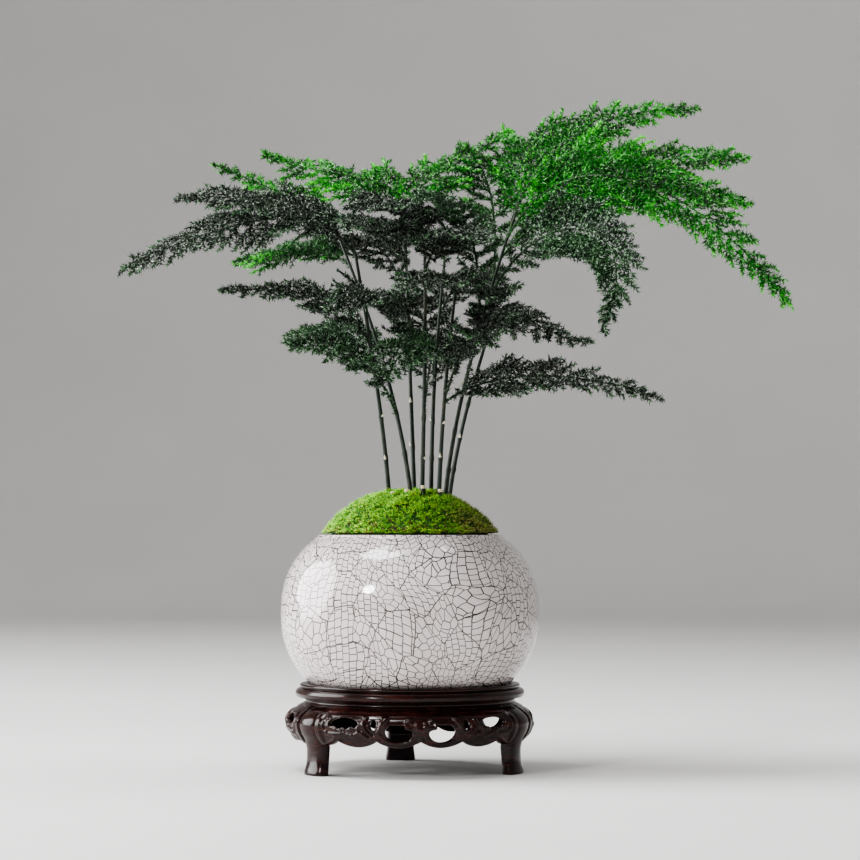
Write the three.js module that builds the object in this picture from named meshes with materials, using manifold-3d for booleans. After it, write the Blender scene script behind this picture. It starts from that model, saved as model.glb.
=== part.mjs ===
// Potted asparagus fern on a carved three-legged wooden stand.
// Millimetres, +Z up. While it is built, the axis of pot and stand is x = y = 0 and the viewer stands
// on the -Y side. At the end the whole plant is moved so that its box is centred over the origin.
import * as THREE from "three";
import { mergeVertices } from "three/addons/utils/BufferGeometryUtils.js";
import Module from "manifold-3d";

const wasm = await Module();
wasm.setup();

// Driving dimensions
const GAP = 0.3; // between pieces that touch
const FINEST = 0.05; // edges shorter than this are closed up after a cut
const SEED = 11;

const STAND = {
  top: 60.5, // upper edge of the moulded top board
  seat: 57, // floor of the shallow recess that takes the pot
  seatRadius: 72,
  boardUnder: 51,
  boardRadius: 77, // the flat underside of the board, inside its moulding
  beadRadius: 80, // the thick lower bead of the moulding
  grooveRadius: 75.6, // between the lower bead and the upper one
  upperBeadRadius: 76.7,
  waistRadius: 74.5,
  waistHollow: 1.5,
  apronTop: 46.5,
  apronLow: 26, // the cusps of the scalloped lower edge
  scallop: 5, // how far the lobes hang below the cusps
  scallopPitch: 32,
  bellyRadius: 87.5, // widest part of apron and legs
  bellyHeight: 35,
  apronThick: 5.5,
  legAzimuths: [-25, 95, 215],
  legWide: 23, // at the shoulder
  ankleWide: 22,
  footWide: 24,
};

const POT = {
  radius: 90.3,
  middle: 110, // height of the widest ring
  upperHalf: 69,
  lowerHalf: 70.5,
  squareness: 2.3, // exponent of the superellipse
  rim: 164,
  footRadius: 62,
  wall: 5,
  floor: 8,
  sides: 32,
};
const SOIL_TOP = 158;
const MOSS = {
  top: 195,
  edge: 59.5, // radius of the skirt that lies on the pot's rim
  neck: 54.6, // radius inside the rim
  overhang: 164.6, // height of the skirt's underside
  skirt: 1.5,
  relief: 1.5,
  sides: 26,
};

const STEM_FOOT = 146; // height of the foot of every stem, down in the soil
const STEM_RADIUS = 1.9;
const STEM_TIP_RADIUS = 1.0;
const STEM_SIDES = 5;
const HOLE_EASE = 0.3;
const STEM_BEND = 0.25; // a stem is straight up to here, past the moss
const SCALE_PLACES = [0.33, 0.46, 0.6]; // the pointed scales on a stem
const SCALE_LENGTH = 2.6;

const RACHIS_RADIUS = 1.05;
const RACHIS_SIDES = 4;
const PINNA_RADIUS = 0.62;
const FOOTHOLD = 1.8; // length of midrib that a side twig grows from
const FREE_AFTER = 3; // a side twig is round from here on
const NEEDLE = 8; // length of a tuft of needles
const NEEDLE_LEAN = 0.8; // radians, from square-on towards the tip
const NEEDLE_THICK = 0.5;
const WHORL_TURN = 0.35; // radians from one whorl to the next
const TUFT_PITCH = 14; // length of twig that one whorl of tufts grows from
const PINNA_PITCH = 33; // between the pairs of side twigs of a frond
const SHORTEST_PINNA = 7;
const TIP_RUN = 0.6; // how strongly a frond at the tip of a stem keeps the stem's direction
const TWIGS_FROM = 0.1; // the share of a midrib where its side twigs begin
const TWIGS_TO = 0.88; // and where they end and its own needles begin
const LAST_RING = 0.94; // of a midrib, before its pointed tip
const OUTLINE_START = 0.08; // the share of a midrib where its outline of side twigs begins
const OUTLINE_RISE = 0.2; // the share of a midrib over which its side twigs grow to full length
const OUTLINE_FALL = 0.9; // how full the outline stays towards the tip
const OUTLINE_TIP = 0.08; // length left at the tip
const PINNA_BEND = { out: 0.42, ahead: 0.26 }; // a side twig's middle, in shares of its length
const PINNA_TIP = { out: 0.72, ahead: 0.7, sag: 0.08 }; // and its tip
const TWIG_STRETCHES = 4; // straight stretches that stand for a side twig when pieces are kept apart
const CLEARANCE = 1.4; // kept between foliage of different pieces

// Stems, as the four control points of a curve from the soil up to the crown
const STEMS = [
  [[-13, -4, STEM_FOOT], [-13, -4, 215], [-26, -12, 290], [-41, -25, 376]],
  [[4, -13, STEM_FOOT], [2, -13, 215], [-14, -2, 285], [-53, 35, 381]],
  [[4, 6, STEM_FOOT], [3, 6, 215], [-1, 10, 290], [-4, 22, 395]],
  [[8, -5, STEM_FOOT], [8, -5, 215], [12, -8, 290], [10, -15, 371]],
  [[15, 4, STEM_FOOT], [14, 4, 215], [16, 8, 280], [24, 20, 352]],
  [[19, -10, STEM_FOOT], [20, -10, 215], [24, -12, 270], [31, -25, 328]],
  [[23, -1, STEM_FOOT], [22, -1, 205], [34, 0, 270], [74, 5, 389]],
  [[24, 9, STEM_FOOT], [26, 9, 210], [42, 12, 262], [60, 22, 320]],
];

// Short sawn-off stems: foot in the soil and radius
const STUBS = [
  { foot: [-12, -17], radius: 1.7, top: 194 },
  { foot: [-2, -22], radius: 1.8, top: 195.5 },
  { foot: [9, -21], radius: 1.6, top: 198 },
  { foot: [21, -18], radius: 1.7, top: 195.5 },
];

// Fronds: the stem that carries each, how far up that stem it leaves, the three further control
// points of its midrib, the length of its longest side twigs, and the way its upper face looks
const FRONDS = [
  {
    name: "left_front", stem: 0, at: 1, reach: 67, face: [0, -0.55, 0.84],
    to: [[-63, -42, 404], [-141, -60, 376], [-200, -50, 343]],
  },
  {
    name: "left_upper", stem: 0, at: 0.93, reach: 54, face: [0, -0.5, 0.87],
    to: [[-62, -28, 391], [-110, -38, 401], [-161, -44, 394]],
  },
  {
    name: "left_mid", stem: 0, at: 0.66, reach: 41, face: [0, -0.5, 0.87],
    to: [[-42, -22, 337], [-89, -40, 333], [-131, -48, 331]],
  },
  {
    name: "top_left", stem: 1, at: 1, reach: 41, face: [0, -0.5, 0.87],
    to: [[-68, 50, 404], [-101, 62, 413], [-143, 66, 433]],
  },
  {
    name: "left_back", stem: 1, at: 0.9, reach: 56, face: [0, -0.5, 0.87],
    to: [[-65, 70, 381], [-102, 100, 371], [-128, 112, 367]],
  },
  {
    name: "left_low", stem: 1, at: 0.47, reach: 48, face: [0, -0.6, 0.8],
    to: [[-28, -30, 299], [-61, -50, 297], [-83, -60, 293]],
  },
  {
    name: "left_low_back", stem: 1, at: 0.56, reach: 50, face: [0, -0.4, 0.92],
    to: [[-35, 20, 317], [-65, 60, 318], [-88, 85, 309]],
  },
  {
    name: "top_mid_left", stem: 2, at: 1, reach: 50, face: [0, -0.6, 0.8],
    to: [[-11, 40, 438], [-65, 60, 418], [-108, 75, 443]],
  },
  {
    name: "top_mid_right", stem: 2, at: 0.94, reach: 45, face: [0, -0.5, 0.87],
    to: [[-6, 35, 425], [34, 45, 421], [71, 48, 456]],
  },
  {
    name: "mid_left", stem: 2, at: 0.62, reach: 60, face: [0, -0.45, 0.9],
    to: [[-12, -22, 340], [-33, -60, 334], [-50, -92, 313]],
  },
  {
    name: "mid_left_back", stem: 2, at: 0.78, reach: 50, face: [0, -0.2, 0.98],
    to: [[-18, 50, 384], [-44, 85, 387], [-68, 112, 375]],
  },
  {
    name: "inner_left", stem: 2, at: 0.86, reach: 50, face: [0, -0.4, 0.92],
    to: [[-9, -25, 380], [-26, -60, 387], [-44, -95, 368]],
  },
  {
    name: "front_high", stem: 3, at: 1, reach: 60, face: [0, -0.3, 0.95],
    to: [[10, -35, 391], [-13, -80, 398], [-38, -122, 377]],
  },
  {
    name: "front_right", stem: 3, at: 0.9, reach: 54, face: [0.1, -0.4, 0.92],
    to: [[17, -45, 371], [35, -85, 374], [51, -118, 358]],
  },
  {
    name: "low_back", stem: 3, at: 0.48, reach: 50, face: [0, -0.4, 0.92],
    to: [[14, 20, 303], [25, 55, 311], [31, 95, 302]],
  },
  {
    name: "low_centre", stem: 5, at: 0.6, reach: 54, face: [0, -0.4, 0.92],
    to: [[40, -35, 308], [46, -60, 311], [54, -84, 291]],
  },
  {
    name: "back_high", stem: 4, at: 1, reach: 54, face: [0, 0.1, 1],
    to: [[26, 50, 379], [15, 100, 393], [-7, 132, 386]],
  },
  {
    name: "back_right", stem: 4, at: 0.84, reach: 50, face: [0.1, 0.1, 1],
    to: [[32, 50, 350], [53, 92, 363], [68, 118, 349]],
  },
  {
    name: "centre_back", stem: 4, at: 0.62, reach: 56, face: [0, -0.3, 0.95],
    to: [[14, 30, 330], [-4, 70, 342], [-21, 110, 334]],
  },
  {
    name: "front_low", stem: 5, at: 1, reach: 54, face: [0, -0.4, 0.92],
    to: [[34, -60, 337], [20, -95, 337], [-8, -122, 324]],
  },
  {
    name: "front_lowest", stem: 5, at: 0.74, reach: 50, face: [0, -0.7, 0.7],
    to: [[12, -45, 303], [-4, -68, 297], [-16, -82, 269]],
  },
  {
    name: "right_low", stem: 5, at: 0.58, reach: 45, face: [0, -0.6, 0.8],
    to: [[49, -18, 278], [113, -30, 281], [175, -32, 257]],
  },
  {
    name: "right_top", stem: 6, at: 1, reach: 50, face: [0, -0.7, 0.7],
    to: [[88, 15, 481], [138, 28, 470], [208, 34, 468]],
  },
  {
    name: "right_plume", stem: 6, at: 0.95, reach: 67, face: [0, -0.8, 0.6],
    to: [[107, -22, 448], [194, -40, 414], [264, -44, 318]],
  },
  {
    name: "right_fan", stem: 6, at: 0.97, reach: 80, face: [0, -0.6, 0.8],
    to: [[81, 15, 425], [105, 60, 456], [143, 95, 462]],
  },
  {
    name: "right_upper", stem: 6, at: 0.91, reach: 60, face: [0, -0.7, 0.7],
    to: [[107, 38, 410], [183, 55, 447], [246, 60, 436]],
  },
  {
    name: "right_side", stem: 6, at: 0.93, reach: 45, face: [0, -0.7, 0.7],
    to: [[119, -8, 418], [182, -14, 420], [238, -16, 393]],
  },
  {
    name: "right_inner", stem: 6, at: 0.86, reach: 37, face: [0, -0.6, 0.8],
    to: [[64, 30, 409], [54, 45, 431], [35, 58, 446]],
  },
  {
    name: "right_hanging", stem: 6, at: 0.81, reach: 54, face: [0, -0.9, 0.45],
    to: [[89, -50, 403], [168, -80, 379], [129, -74, 301]],
  },
  {
    name: "centre_top", stem: 6, at: 0.74, reach: 52, face: [0, -0.4, 0.92],
    to: [[52, -28, 381], [28, -62, 402], [5, -92, 389]],
  },
  {
    name: "mid_right", stem: 6, at: 0.58, reach: 41, face: [0, -0.5, 0.87],
    to: [[55, -25, 337], [58, -58, 337], [62, -82, 322]],
  },
  {
    name: "right_mid", stem: 7, at: 1, reach: 37, face: [0, -0.5, 0.87],
    to: [[74, 0, 328], [101, -22, 294], [125, -32, 297]],
  },
  {
    name: "right_back", stem: 7, at: 0.88, reach: 45, face: [0, -0.3, 0.95],
    to: [[61, 50, 323], [72, 85, 330], [81, 108, 320]],
  },
];

// Colours
const LACQUER = new THREE.MeshStandardMaterial({ color: 0x2a0f0c, roughness: 0.25 });
const GLAZE = new THREE.MeshStandardMaterial({ color: 0xd6cfd0, roughness: 0.15 });
const EARTH = new THREE.MeshStandardMaterial({ color: 0x2b1c12, roughness: 0.95 });
const MOSS_GREEN = new THREE.MeshStandardMaterial({ color: 0x6f9a1c, roughness: 0.95 });
const BARK = new THREE.MeshStandardMaterial({ color: 0x1e2b1c, roughness: 0.6 });
const CUT_WOOD = new THREE.MeshStandardMaterial({ color: 0xc9b88a, roughness: 0.8 });
const LEAF = new THREE.MeshStandardMaterial({ color: 0x1d6b25, roughness: 0.6 });

const plant = new THREE.Group();

function place(name, geometry, material) {
  const mesh = new THREE.Mesh(geometry, material);
  mesh.name = name;
  plant.add(mesh);
}

const radians = THREE.MathUtils.degToRad;
const vector = (xyz) => new THREE.Vector3(...xyz);

// Solids: a closed geometry to a manifold and back
function toSolid(geometry) {
  const bare = geometry.clone();
  bare.deleteAttribute("normal");
  bare.deleteAttribute("uv");
  const merged = mergeVertices(bare, 1e-4);
  return new wasm.Manifold(
    new wasm.Mesh({
      numProp: 3,
      vertProperties: new Float32Array(merged.attributes.position.array),
      triVerts: new Uint32Array(merged.index.array),
    }),
  );
}

function toGeometry(solid) {
  const { vertProperties, triVerts } = solid.getMesh();
  return new THREE.BufferGeometry()
    .setAttribute("position", new THREE.BufferAttribute(vertProperties, 3))
    .setIndex(new THREE.BufferAttribute(triVerts, 1));
}

// Seeded random numbers from 0 to 1
function randomFrom(seed) {
  let state = seed >>> 0;
  return () => {
    state = (state + 0x6d2b79f5) >>> 0;
    let mixed = Math.imul(state ^ (state >>> 15), 1 | state);
    mixed = (mixed + Math.imul(mixed ^ (mixed >>> 7), 61 | mixed)) ^ mixed;
    return ((mixed ^ (mixed >>> 14)) >>> 0) / 4294967296;
  };
}

// Body of revolution from [radius, height] pairs that start and end on the axis, or close on themselves
function turned(profile, sides) {
  return new THREE.LatheGeometry(
    profile.map(([r, z]) => new THREE.Vector2(r, z)),
    sides,
  ).rotateX(Math.PI / 2);
}

// The bulge of apron and legs: outer radius at a height
function bellyRadius(z) {
  const slope = z > STAND.bellyHeight ? 0.09 : 0.035;
  return STAND.bellyRadius - slope * (z - STAND.bellyHeight) ** 2;
}

// Stand
function standTop() {
  const { top, seat, seatRadius, boardUnder, boardRadius, beadRadius, grooveRadius, upperBeadRadius } = STAND;
  return turned(
    [
      [0, boardUnder],
      [boardRadius, boardUnder],
      [beadRadius - 0.7, boardUnder + 1.6],
      [beadRadius, boardUnder + 4],
      [beadRadius - 1.7, boardUnder + 6],
      [grooveRadius, boardUnder + 6.7],
      [upperBeadRadius, top - 1.4],
      [upperBeadRadius - 1.3, top],
      [seatRadius + 0.6, top],
      [seatRadius, seat],
      [0, seat],
    ],
    POT.sides,
  );
}

function standWaist() {
  const low = STAND.apronTop + GAP;
  const high = STAND.boardUnder - GAP;
  const edge = STAND.waistRadius;
  const hollow = [edge - STAND.waistHollow, (low + high) / 2];
  return turned([[0, low], [edge, low], hollow, [edge, high], [0, high]], POT.sides);
}

// A leg with a bulging knee: its side outline is extruded sideways and wrapped round the stand's axis
function standLeg(azimuth) {
  const foot = [[83.4, 0], [83, 4], [82, 9], [81.8, 18]];
  const knee = [24, 29, 35, 41, 44, STAND.apronTop].map((z) => [bellyRadius(z), z]);
  const inner = [[67, STAND.apronTop], [73, 42], [80, 36], [78, 28], [72.5, 20], [73.5, 10], [75, 0]];
  const outline = new THREE.Shape([...foot, ...knee, ...inner].map(([r, z]) => new THREE.Vector2(r, z)));
  const leg = new THREE.ExtrudeGeometry(outline, { depth: 1, steps: 3, bevelEnabled: false });
  const spots = leg.attributes.position;
  for (let i = 0; i < spots.count; i++) {
    const [radius, z] = [spots.getX(i), spots.getY(i)];
    const low = THREE.MathUtils.lerp(STAND.footWide, STAND.ankleWide, THREE.MathUtils.smoothstep(z, 0, 10));
    const wide = THREE.MathUtils.lerp(low, STAND.legWide, THREE.MathUtils.smoothstep(z, 16, 38));
    const angle = radians(azimuth) - ((spots.getZ(i) - 0.5) * wide) / STAND.bellyRadius;
    spots.setXYZ(i, radius * Math.cos(angle), radius * Math.sin(angle), z);
  }
  return leg;
}

// Height of the apron's scalloped lower edge, at a distance along its arc from the middle
function apronEdge(along) {
  return STAND.apronLow - STAND.scallop * Math.abs(Math.sin((Math.PI * along) / STAND.scallopPitch)) ** 0.7;
}

function ovalHole(centre, z, wide, high, points) {
  const hole = new THREE.Path();
  for (let i = 0; i < points; i++) {
    const turn = (2 * Math.PI * (i + 0.5)) / points;
    const spot = [centre + wide * Math.cos(turn), z + high * Math.sin(turn)];
    if (i === 0) hole.moveTo(...spot);
    else hole.lineTo(...spot);
  }
  return hole;
}

// One carved apron panel: a pierced strip, bulged and wrapped round the stand's axis
function standApron(azimuth) {
  const half = (radians(120) * STAND.bellyRadius - STAND.legWide) / 2 - GAP;
  const steps = 12;
  const outline = new THREE.Shape();
  outline.moveTo(-half, STAND.apronTop);
  for (let i = 0; i <= 2 * steps; i++) {
    const along = -half + (half * i) / steps;
    outline.lineTo(along, apronEdge(along));
  }
  for (let i = steps; i > 0; i--) outline.lineTo(-half + (2 * half * i) / steps, STAND.apronTop);
  for (const side of [-1, 1]) {
    outline.holes.push(ovalHole(side * 14, 33, 9.5, 7, 8));
    outline.holes.push(ovalHole(side * 33, 35, 5.5, 5, 6));
    outline.holes.push(ovalHole(side * 55, 35, 11.5, 5.5, 8));
  }
  const panel = new THREE.ExtrudeGeometry(outline, { depth: STAND.apronThick, bevelEnabled: false });
  const spots = panel.attributes.position;
  for (let i = 0; i < spots.count; i++) {
    const z = spots.getY(i);
    const radius = bellyRadius(z) - STAND.apronThick + spots.getZ(i);
    const angle = radians(azimuth) + spots.getX(i) / STAND.bellyRadius;
    spots.setXYZ(i, radius * Math.cos(angle), radius * Math.sin(angle), z);
  }
  return panel;
}

// Radius of the pot's body at a height, set in by a margin
function potRadius(z, inset = 0) {
  const half = (z > POT.middle ? POT.upperHalf : POT.lowerHalf) - inset;
  const share = Math.min(1, Math.abs(z - POT.middle) / half);
  return (POT.radius - inset) * (1 - share ** POT.squareness) ** (1 / POT.squareness);
}

function heightsBetween(low, high, count) {
  const share = (i) => (1 - Math.cos((Math.PI * i) / count)) / 2;
  return Array.from({ length: count + 1 }, (_, i) => low + (high - low) * share(i));
}

// Heights of the rings inside the pot, up to the soil's surface
const insideHeights = () => heightsBetween(STAND.seat + GAP + POT.floor, SOIL_TOP, 3);

function pot() {
  const bottom = STAND.seat + GAP;
  const lip = POT.rim - 1.6;
  const inside = bottom + POT.floor;
  const outer = heightsBetween(bottom + 2.5, lip, 9).map((z) => [potRadius(z), z]);
  const inner = [...insideHeights(), lip].map((z) => [potRadius(z, POT.wall), z]).reverse();
  const lipMiddle = (potRadius(lip) + potRadius(lip, POT.wall)) / 2;
  const edge = [1.3, -1.3].map((way) => [lipMiddle + way, POT.rim]);
  return turned([[0, bottom], [POT.footRadius, bottom], ...outer, ...edge, ...inner, [0, inside]], POT.sides);
}

// Stems and their holes
const stemCurve = (points) => new THREE.CubicBezierCurve3(...points.map(vector));
const stemRadius = (t) => THREE.MathUtils.lerp(STEM_RADIUS, STEM_TIP_RADIUS, t ** 0.8);

// Skins are closed surfaces in the making: a list of vertices and a list of faces, which are triples
// of places in the list of vertices.
const newSkin = () => ({ vertices: [], faces: [] });
const addVertex = (skin, spot) => skin.vertices.push(spot) - 1;

function middleOf(skin, ids) {
  const total = ids.reduce((sum, id) => sum.add(skin.vertices[id]), new THREE.Vector3());
  return total.divideScalar(ids.length);
}

function toMesh({ vertices, faces }) {
  return new THREE.BufferGeometry()
    .setAttribute("position", new THREE.Float32BufferAttribute(vertices.flatMap((p) => p.toArray()), 3))
    .setIndex(faces.flat());
}

// A ring of vertices round a curve
function addRing(skin, curve, { t, radius, turn = 0, half = 0, grow = null }, sides, up) {
  const centre = curve.getPoint(t);
  const along = curve.getTangent(THREE.MathUtils.clamp(t, 0, 1));
  const side = up.clone().cross(along).normalize();
  const top = along.clone().cross(side);
  const ids = [];
  for (let k = 0; k < sides; k++) {
    const angle = turn + (2 * Math.PI * k) / sides;
    const spot = centre.clone().addScaledVector(side, radius * Math.cos(angle));
    ids.push(addVertex(skin, spot.addScaledVector(top, radius * Math.sin(angle))));
  }
  return { centre, along, ids, half, grow };
}

// The facets between two rings, two faces each. The first ring's grow() may give back a function that
// draws something out of one of the two faces, which then isn't there itself.
function addBand(skin, a, b) {
  const sides = a.ids.length;
  for (let k = 0; k < sides; k++) {
    const next = (k + 1) % sides;
    const facet = [a.ids[k], a.ids[next], b.ids[next], b.ids[k]];
    const faces = [[facet[0], facet[1], facet[2]], [facet[0], facet[2], facet[3]]];
    const centre = a.centre.clone().lerp(b.centre, 0.5);
    const draw = a.grow ? a.grow(k, middleOf(skin, facet), centre, a.along) : null;
    faces.forEach((face, half) => {
      if (draw && half === a.half) draw(skin, face);
      else skin.faces.push(face);
    });
  }
}

// Draws a face out into a point
function pointBy(reach) {
  return (skin, face) => {
    const tip = addVertex(skin, middleOf(skin, face).add(reach));
    face.forEach((id, i) => skin.faces.push([id, face[(i + 1) % face.length], tip]));
  };
}

// Goes on from a ring along a curve, through further rings, to a pointed or a blunt end
function addLength(skin, first, curve, rings, up, pointed) {
  let last = first;
  for (const ring of rings) {
    const next = addRing(skin, curve, ring, first.ids.length, up);
    addBand(skin, last, next);
    last = next;
  }
  const sides = last.ids.length;
  const tip = pointed ? addVertex(skin, curve.getPoint(1)) : last.ids[0];
  for (let k = 0; k < sides; k++) {
    const [a, b] = [last.ids[k], last.ids[(k + 1) % sides]];
    if (a !== tip && b !== tip) skin.faces.push([a, b, tip]);
  }
}

// A tube along a curve, through rings that have a place t along the curve and a radius
function addTube(skin, curve, rings, sides, up, pointed = false) {
  const first = addRing(skin, curve, rings[0], sides, up);
  for (let k = 1; k + 1 < sides; k++) skin.faces.push([first.ids[0], first.ids[k + 1], first.ids[k]]);
  addLength(skin, first, curve, rings.slice(1), up, pointed);
}

function tube(curve, rings, sides, up) {
  const skin = newSkin();
  addTube(skin, curve, rings, sides, up);
  return toMesh(skin);
}

// Draws a face out into a three-sided pointed twig along a curve
function twigAlong(curve, rings, up) {
  return (skin, face) => {
    const start = curve.getPoint(rings[0].t);
    const nearest = face.map((id) => skin.vertices[id].distanceTo(start));
    const shift = nearest.indexOf(Math.min(...nearest));
    const ids = face.map((_, k) => face[(k + shift) % face.length]);
    addLength(skin, { centre: curve.getPoint(0), along: curve.getTangent(0), ids }, curve, rings, up, true);
  };
}

const AWAY = new THREE.Vector3(0, 1, 0); // a direction that no stem runs along

function stem(points, index) {
  const curve = stemCurve(points);
  const scales = SCALE_PLACES.map((t) => t + 0.02 * (index % 3));
  const forks = FRONDS.filter((spec) => spec.stem === index).map((spec) => spec.at);
  const places = [0, STEM_BEND, 0.78, 1, ...forks, ...scales].sort((a, b) => a - b);
  const rings = [];
  for (const t of new Set(places)) {
    const ring = { t, radius: stemRadius(t) };
    rings.push(ring);
    if (!scales.includes(t)) continue;
    const side = Math.round(index * 2 + t * 9) % STEM_SIDES;
    ring.grow = (k, spot, centre, along) => {
      const outward = spot.clone().sub(centre).normalize().multiplyScalar(SCALE_LENGTH * 0.6);
      return k === side ? pointBy(outward.addScaledVector(along, SCALE_LENGTH)) : null;
    };
    rings.push({ t: t + 0.012, radius: stemRadius(t) });
  }
  return tube(curve, rings, STEM_SIDES, AWAY);
}

// The plain hole that a stem stands in, down past its foot and up through the moss
function stemHole(points) {
  const places = [-0.004, STEM_BEND, STEM_BEND + 0.02];
  const rings = places.map((t) => ({ t, radius: stemRadius(Math.max(t, 0)) + HOLE_EASE }));
  return toSolid(tube(stemCurve(points), rings, STEM_SIDES, AWAY));
}

function stubCurve({ foot: [x, y], top }) {
  return new THREE.LineCurve3(new THREE.Vector3(x, y, STEM_FOOT), new THREE.Vector3(x, y, top));
}

function stub(spec) {
  const rings = [0, 1].map((t) => ({ t, radius: spec.radius }));
  return tube(stubCurve(spec), rings, STEM_SIDES, AWAY);
}

function stubHole(spec) {
  const rings = [-0.02, 1.1].map((t) => ({ t, radius: spec.radius + HOLE_EASE }));
  return toSolid(tube(stubCurve(spec), rings, STEM_SIDES, AWAY));
}

const holes = () => [...STEMS.map(stemHole), ...STUBS.map(stubHole)];

function pierced(geometry) {
  const cut = holes().reduce((solid, hole) => solid.subtract(hole), toSolid(geometry));
  return toGeometry(cut.asOriginal().simplify(FINEST));
}

function soil() {
  const heights = insideHeights();
  const sides = heights.map((z) => [potRadius(z, POT.wall) - GAP - 0.1, z]);
  sides[0][1] += GAP;
  return pierced(turned([[0, sides[0][1]], ...sides, [0, SOIL_TOP]], POT.sides));
}

// Moss: a flat-topped mound with a rough, tufted surface that spills just over the rim
function mossHeight(radius) {
  const share = Math.min(1, radius / MOSS.edge);
  const base = MOSS.overhang + MOSS.skirt;
  return base + (MOSS.top - base) * (1 - share ** 2.4) ** 0.9;
}

function moss() {
  const bottom = SOIL_TOP + GAP;
  const radii = [MOSS.edge, 56, 49, 41, 32, 22, 11];
  const skirt = [[MOSS.neck, MOSS.overhang], [MOSS.edge - MOSS.skirt, MOSS.overhang]];
  const foot = [[0, bottom], [MOSS.neck, bottom], ...skirt];
  const dome = radii.map((r) => [r, mossHeight(r)]);
  const mound = turned([...foot, ...dome, [0, MOSS.top]], MOSS.sides);
  const spots = mound.attributes.position;
  for (let i = 0; i < spots.count; i++) {
    const [x, y, z] = [spots.getX(i), spots.getY(i), spots.getZ(i)];
    if (z < MOSS.overhang + 1) continue;
    const tuft = Math.sin(0.9 * x + 0.31 * z) * Math.sin(0.83 * y + 1.1) + Math.sin(1.7 * x - 1.3 * y);
    const swell = 1 + (MOSS.relief * tuft) / 100;
    const fade = Math.min(1, (z - MOSS.overhang) / 8);
    spots.setXYZ(i, x * swell, y * swell, z + MOSS.relief * tuft * fade);
  }
  return pierced(mound);
}

// Foliage. taken holds every stretch of twig and needle so far, so that new ones keep clear of it.
const taken = [];

const fraction = (value) => Math.min(1, Math.max(0, value));

// Shortest distance between the straight stretches from a to b and from c to d
function gapBetween(a, b, c, d) {
  const first = b.clone().sub(a);
  const second = d.clone().sub(c);
  const offset = a.clone().sub(c);
  const [firstLong, secondLong, cross] = [first.dot(first), second.dot(second), first.dot(second)];
  const spread = firstLong * secondLong - cross * cross;
  const meet = (cross * second.dot(offset) - first.dot(offset) * secondLong) / spread;
  let onFirst = spread > 1e-9 ? fraction(meet) : 0;
  let onSecond = (cross * onFirst + second.dot(offset)) / secondLong;
  if (onSecond < 0 || onSecond > 1) {
    onSecond = fraction(onSecond);
    onFirst = fraction((cross * onSecond - first.dot(offset)) / firstLong);
  }
  return offset.addScaledVector(first, onFirst).addScaledVector(second, -onSecond).length();
}

// Whether a round stretch from p to q keeps clear of all that is not of the same kin
function isClear(p, q, radius, kin) {
  const middle = p.clone().add(q).multiplyScalar(0.5);
  const half = p.distanceTo(q) / 2;
  return taken.every((other) => {
    if (kin(other)) return true;
    const room = radius + other.radius + CLEARANCE;
    if (middle.distanceTo(other.middle) > half + other.half + room) return true;
    return gapBetween(p, q, other.a, other.b) > room;
  });
}

function claim(a, b, radius, owner, twig) {
  const middle = a.clone().add(b).multiplyScalar(0.5);
  taken.push({ a, b, middle, half: a.distanceTo(b) / 2, radius, owner, twig });
}

function claimAlong(curve, from, radiusAt, owner, twig, pieces) {
  for (let i = 0; i < pieces; i++) {
    const t = from + ((1 - from) * i) / pieces;
    const end = from + ((1 - from) * (i + 1)) / pieces;
    claim(curve.getPoint(t), curve.getPoint(end), radiusAt(t), owner, twig);
  }
}

// Rings at the given places on a curve, and past from a whorl of needles between them
function needledRings(curve, places, from, radiusAt, owner, twig, random) {
  let turn = random() * Math.PI;
  return places.map((t, i) => {
    const ring = { t, radius: radiusAt(t), turn, half: i % 2 };
    turn += WHORL_TURN;
    if (t < from || i + 1 === places.length) return ring;
    const long = NEEDLE * (0.8 + 0.4 * random());
    ring.grow = (k, spot, centre, along) => {
      const reach = needleReach(spot, centre, along, long);
      const tip = spot.clone().add(reach);
      const root = spot.clone().addScaledVector(reach, 0.15);
      if (!isClear(root, tip, NEEDLE_THICK, (other) => other.twig === twig)) return null;
      claim(spot, tip, NEEDLE_THICK, owner, twig);
      return pointBy(reach);
    };
    return ring;
  });
}

// A needle's way from its root to its tip: outwards, leaning forwards
function needleReach(spot, centre, along, long) {
  const outward = spot.clone().sub(centre);
  outward.addScaledVector(along, -outward.dot(along)).normalize();
  outward.multiplyScalar(long * Math.cos(NEEDLE_LEAN));
  return outward.addScaledVector(along, long * Math.sin(NEEDLE_LEAN));
}

// Length of a side twig as a share of the longest, along the midrib: the outline of the frond
function outlineShare(t) {
  const rise = Math.min(1, (t - OUTLINE_START) / OUTLINE_RISE);
  return rise * (1 - t) ** OUTLINE_FALL + OUTLINE_TIP;
}

// The curve of a midrib. One that goes on from the tip of its stem sets off in the stem's direction.
function midrib({ stem: index, at, to }) {
  const bearer = stemCurve(STEMS[index]);
  const root = bearer.getPoint(at);
  const [first, second, end] = to.map(vector);
  if (at === 1) {
    const ahead = root.distanceTo(first) * TIP_RUN;
    first.copy(root).addScaledVector(bearer.getTangent(1), ahead);
  }
  return new THREE.CubicBezierCurve3(root, first, second, end);
}

// Where the midrib comes clear of the stem that carries it
function midribStart(spec) {
  const curve = midrib(spec);
  const bearer = stemCurve(STEMS[spec.stem]);
  if (spec.at === 1) {
    const along = bearer.getTangent(1);
    const end = bearer.getPoint(1);
    const tilt = (t) => Math.sqrt(Math.max(0, 1 - curve.getTangent(t).dot(along) ** 2));
    let t = 0;
    while (curve.getPoint(t).sub(end).dot(along) < GAP + RACHIS_RADIUS * tilt(t)) t += 0.001;
    return t;
  }
  const spots = bearer.getPoints(200);
  const room = stemRadius(spec.at) + GAP + RACHIS_RADIUS * 0.6;
  let t = 0;
  while (Math.min(...spots.map((p) => p.distanceTo(curve.getPoint(t)))) < room) t += 0.002;
  return t;
}

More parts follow.
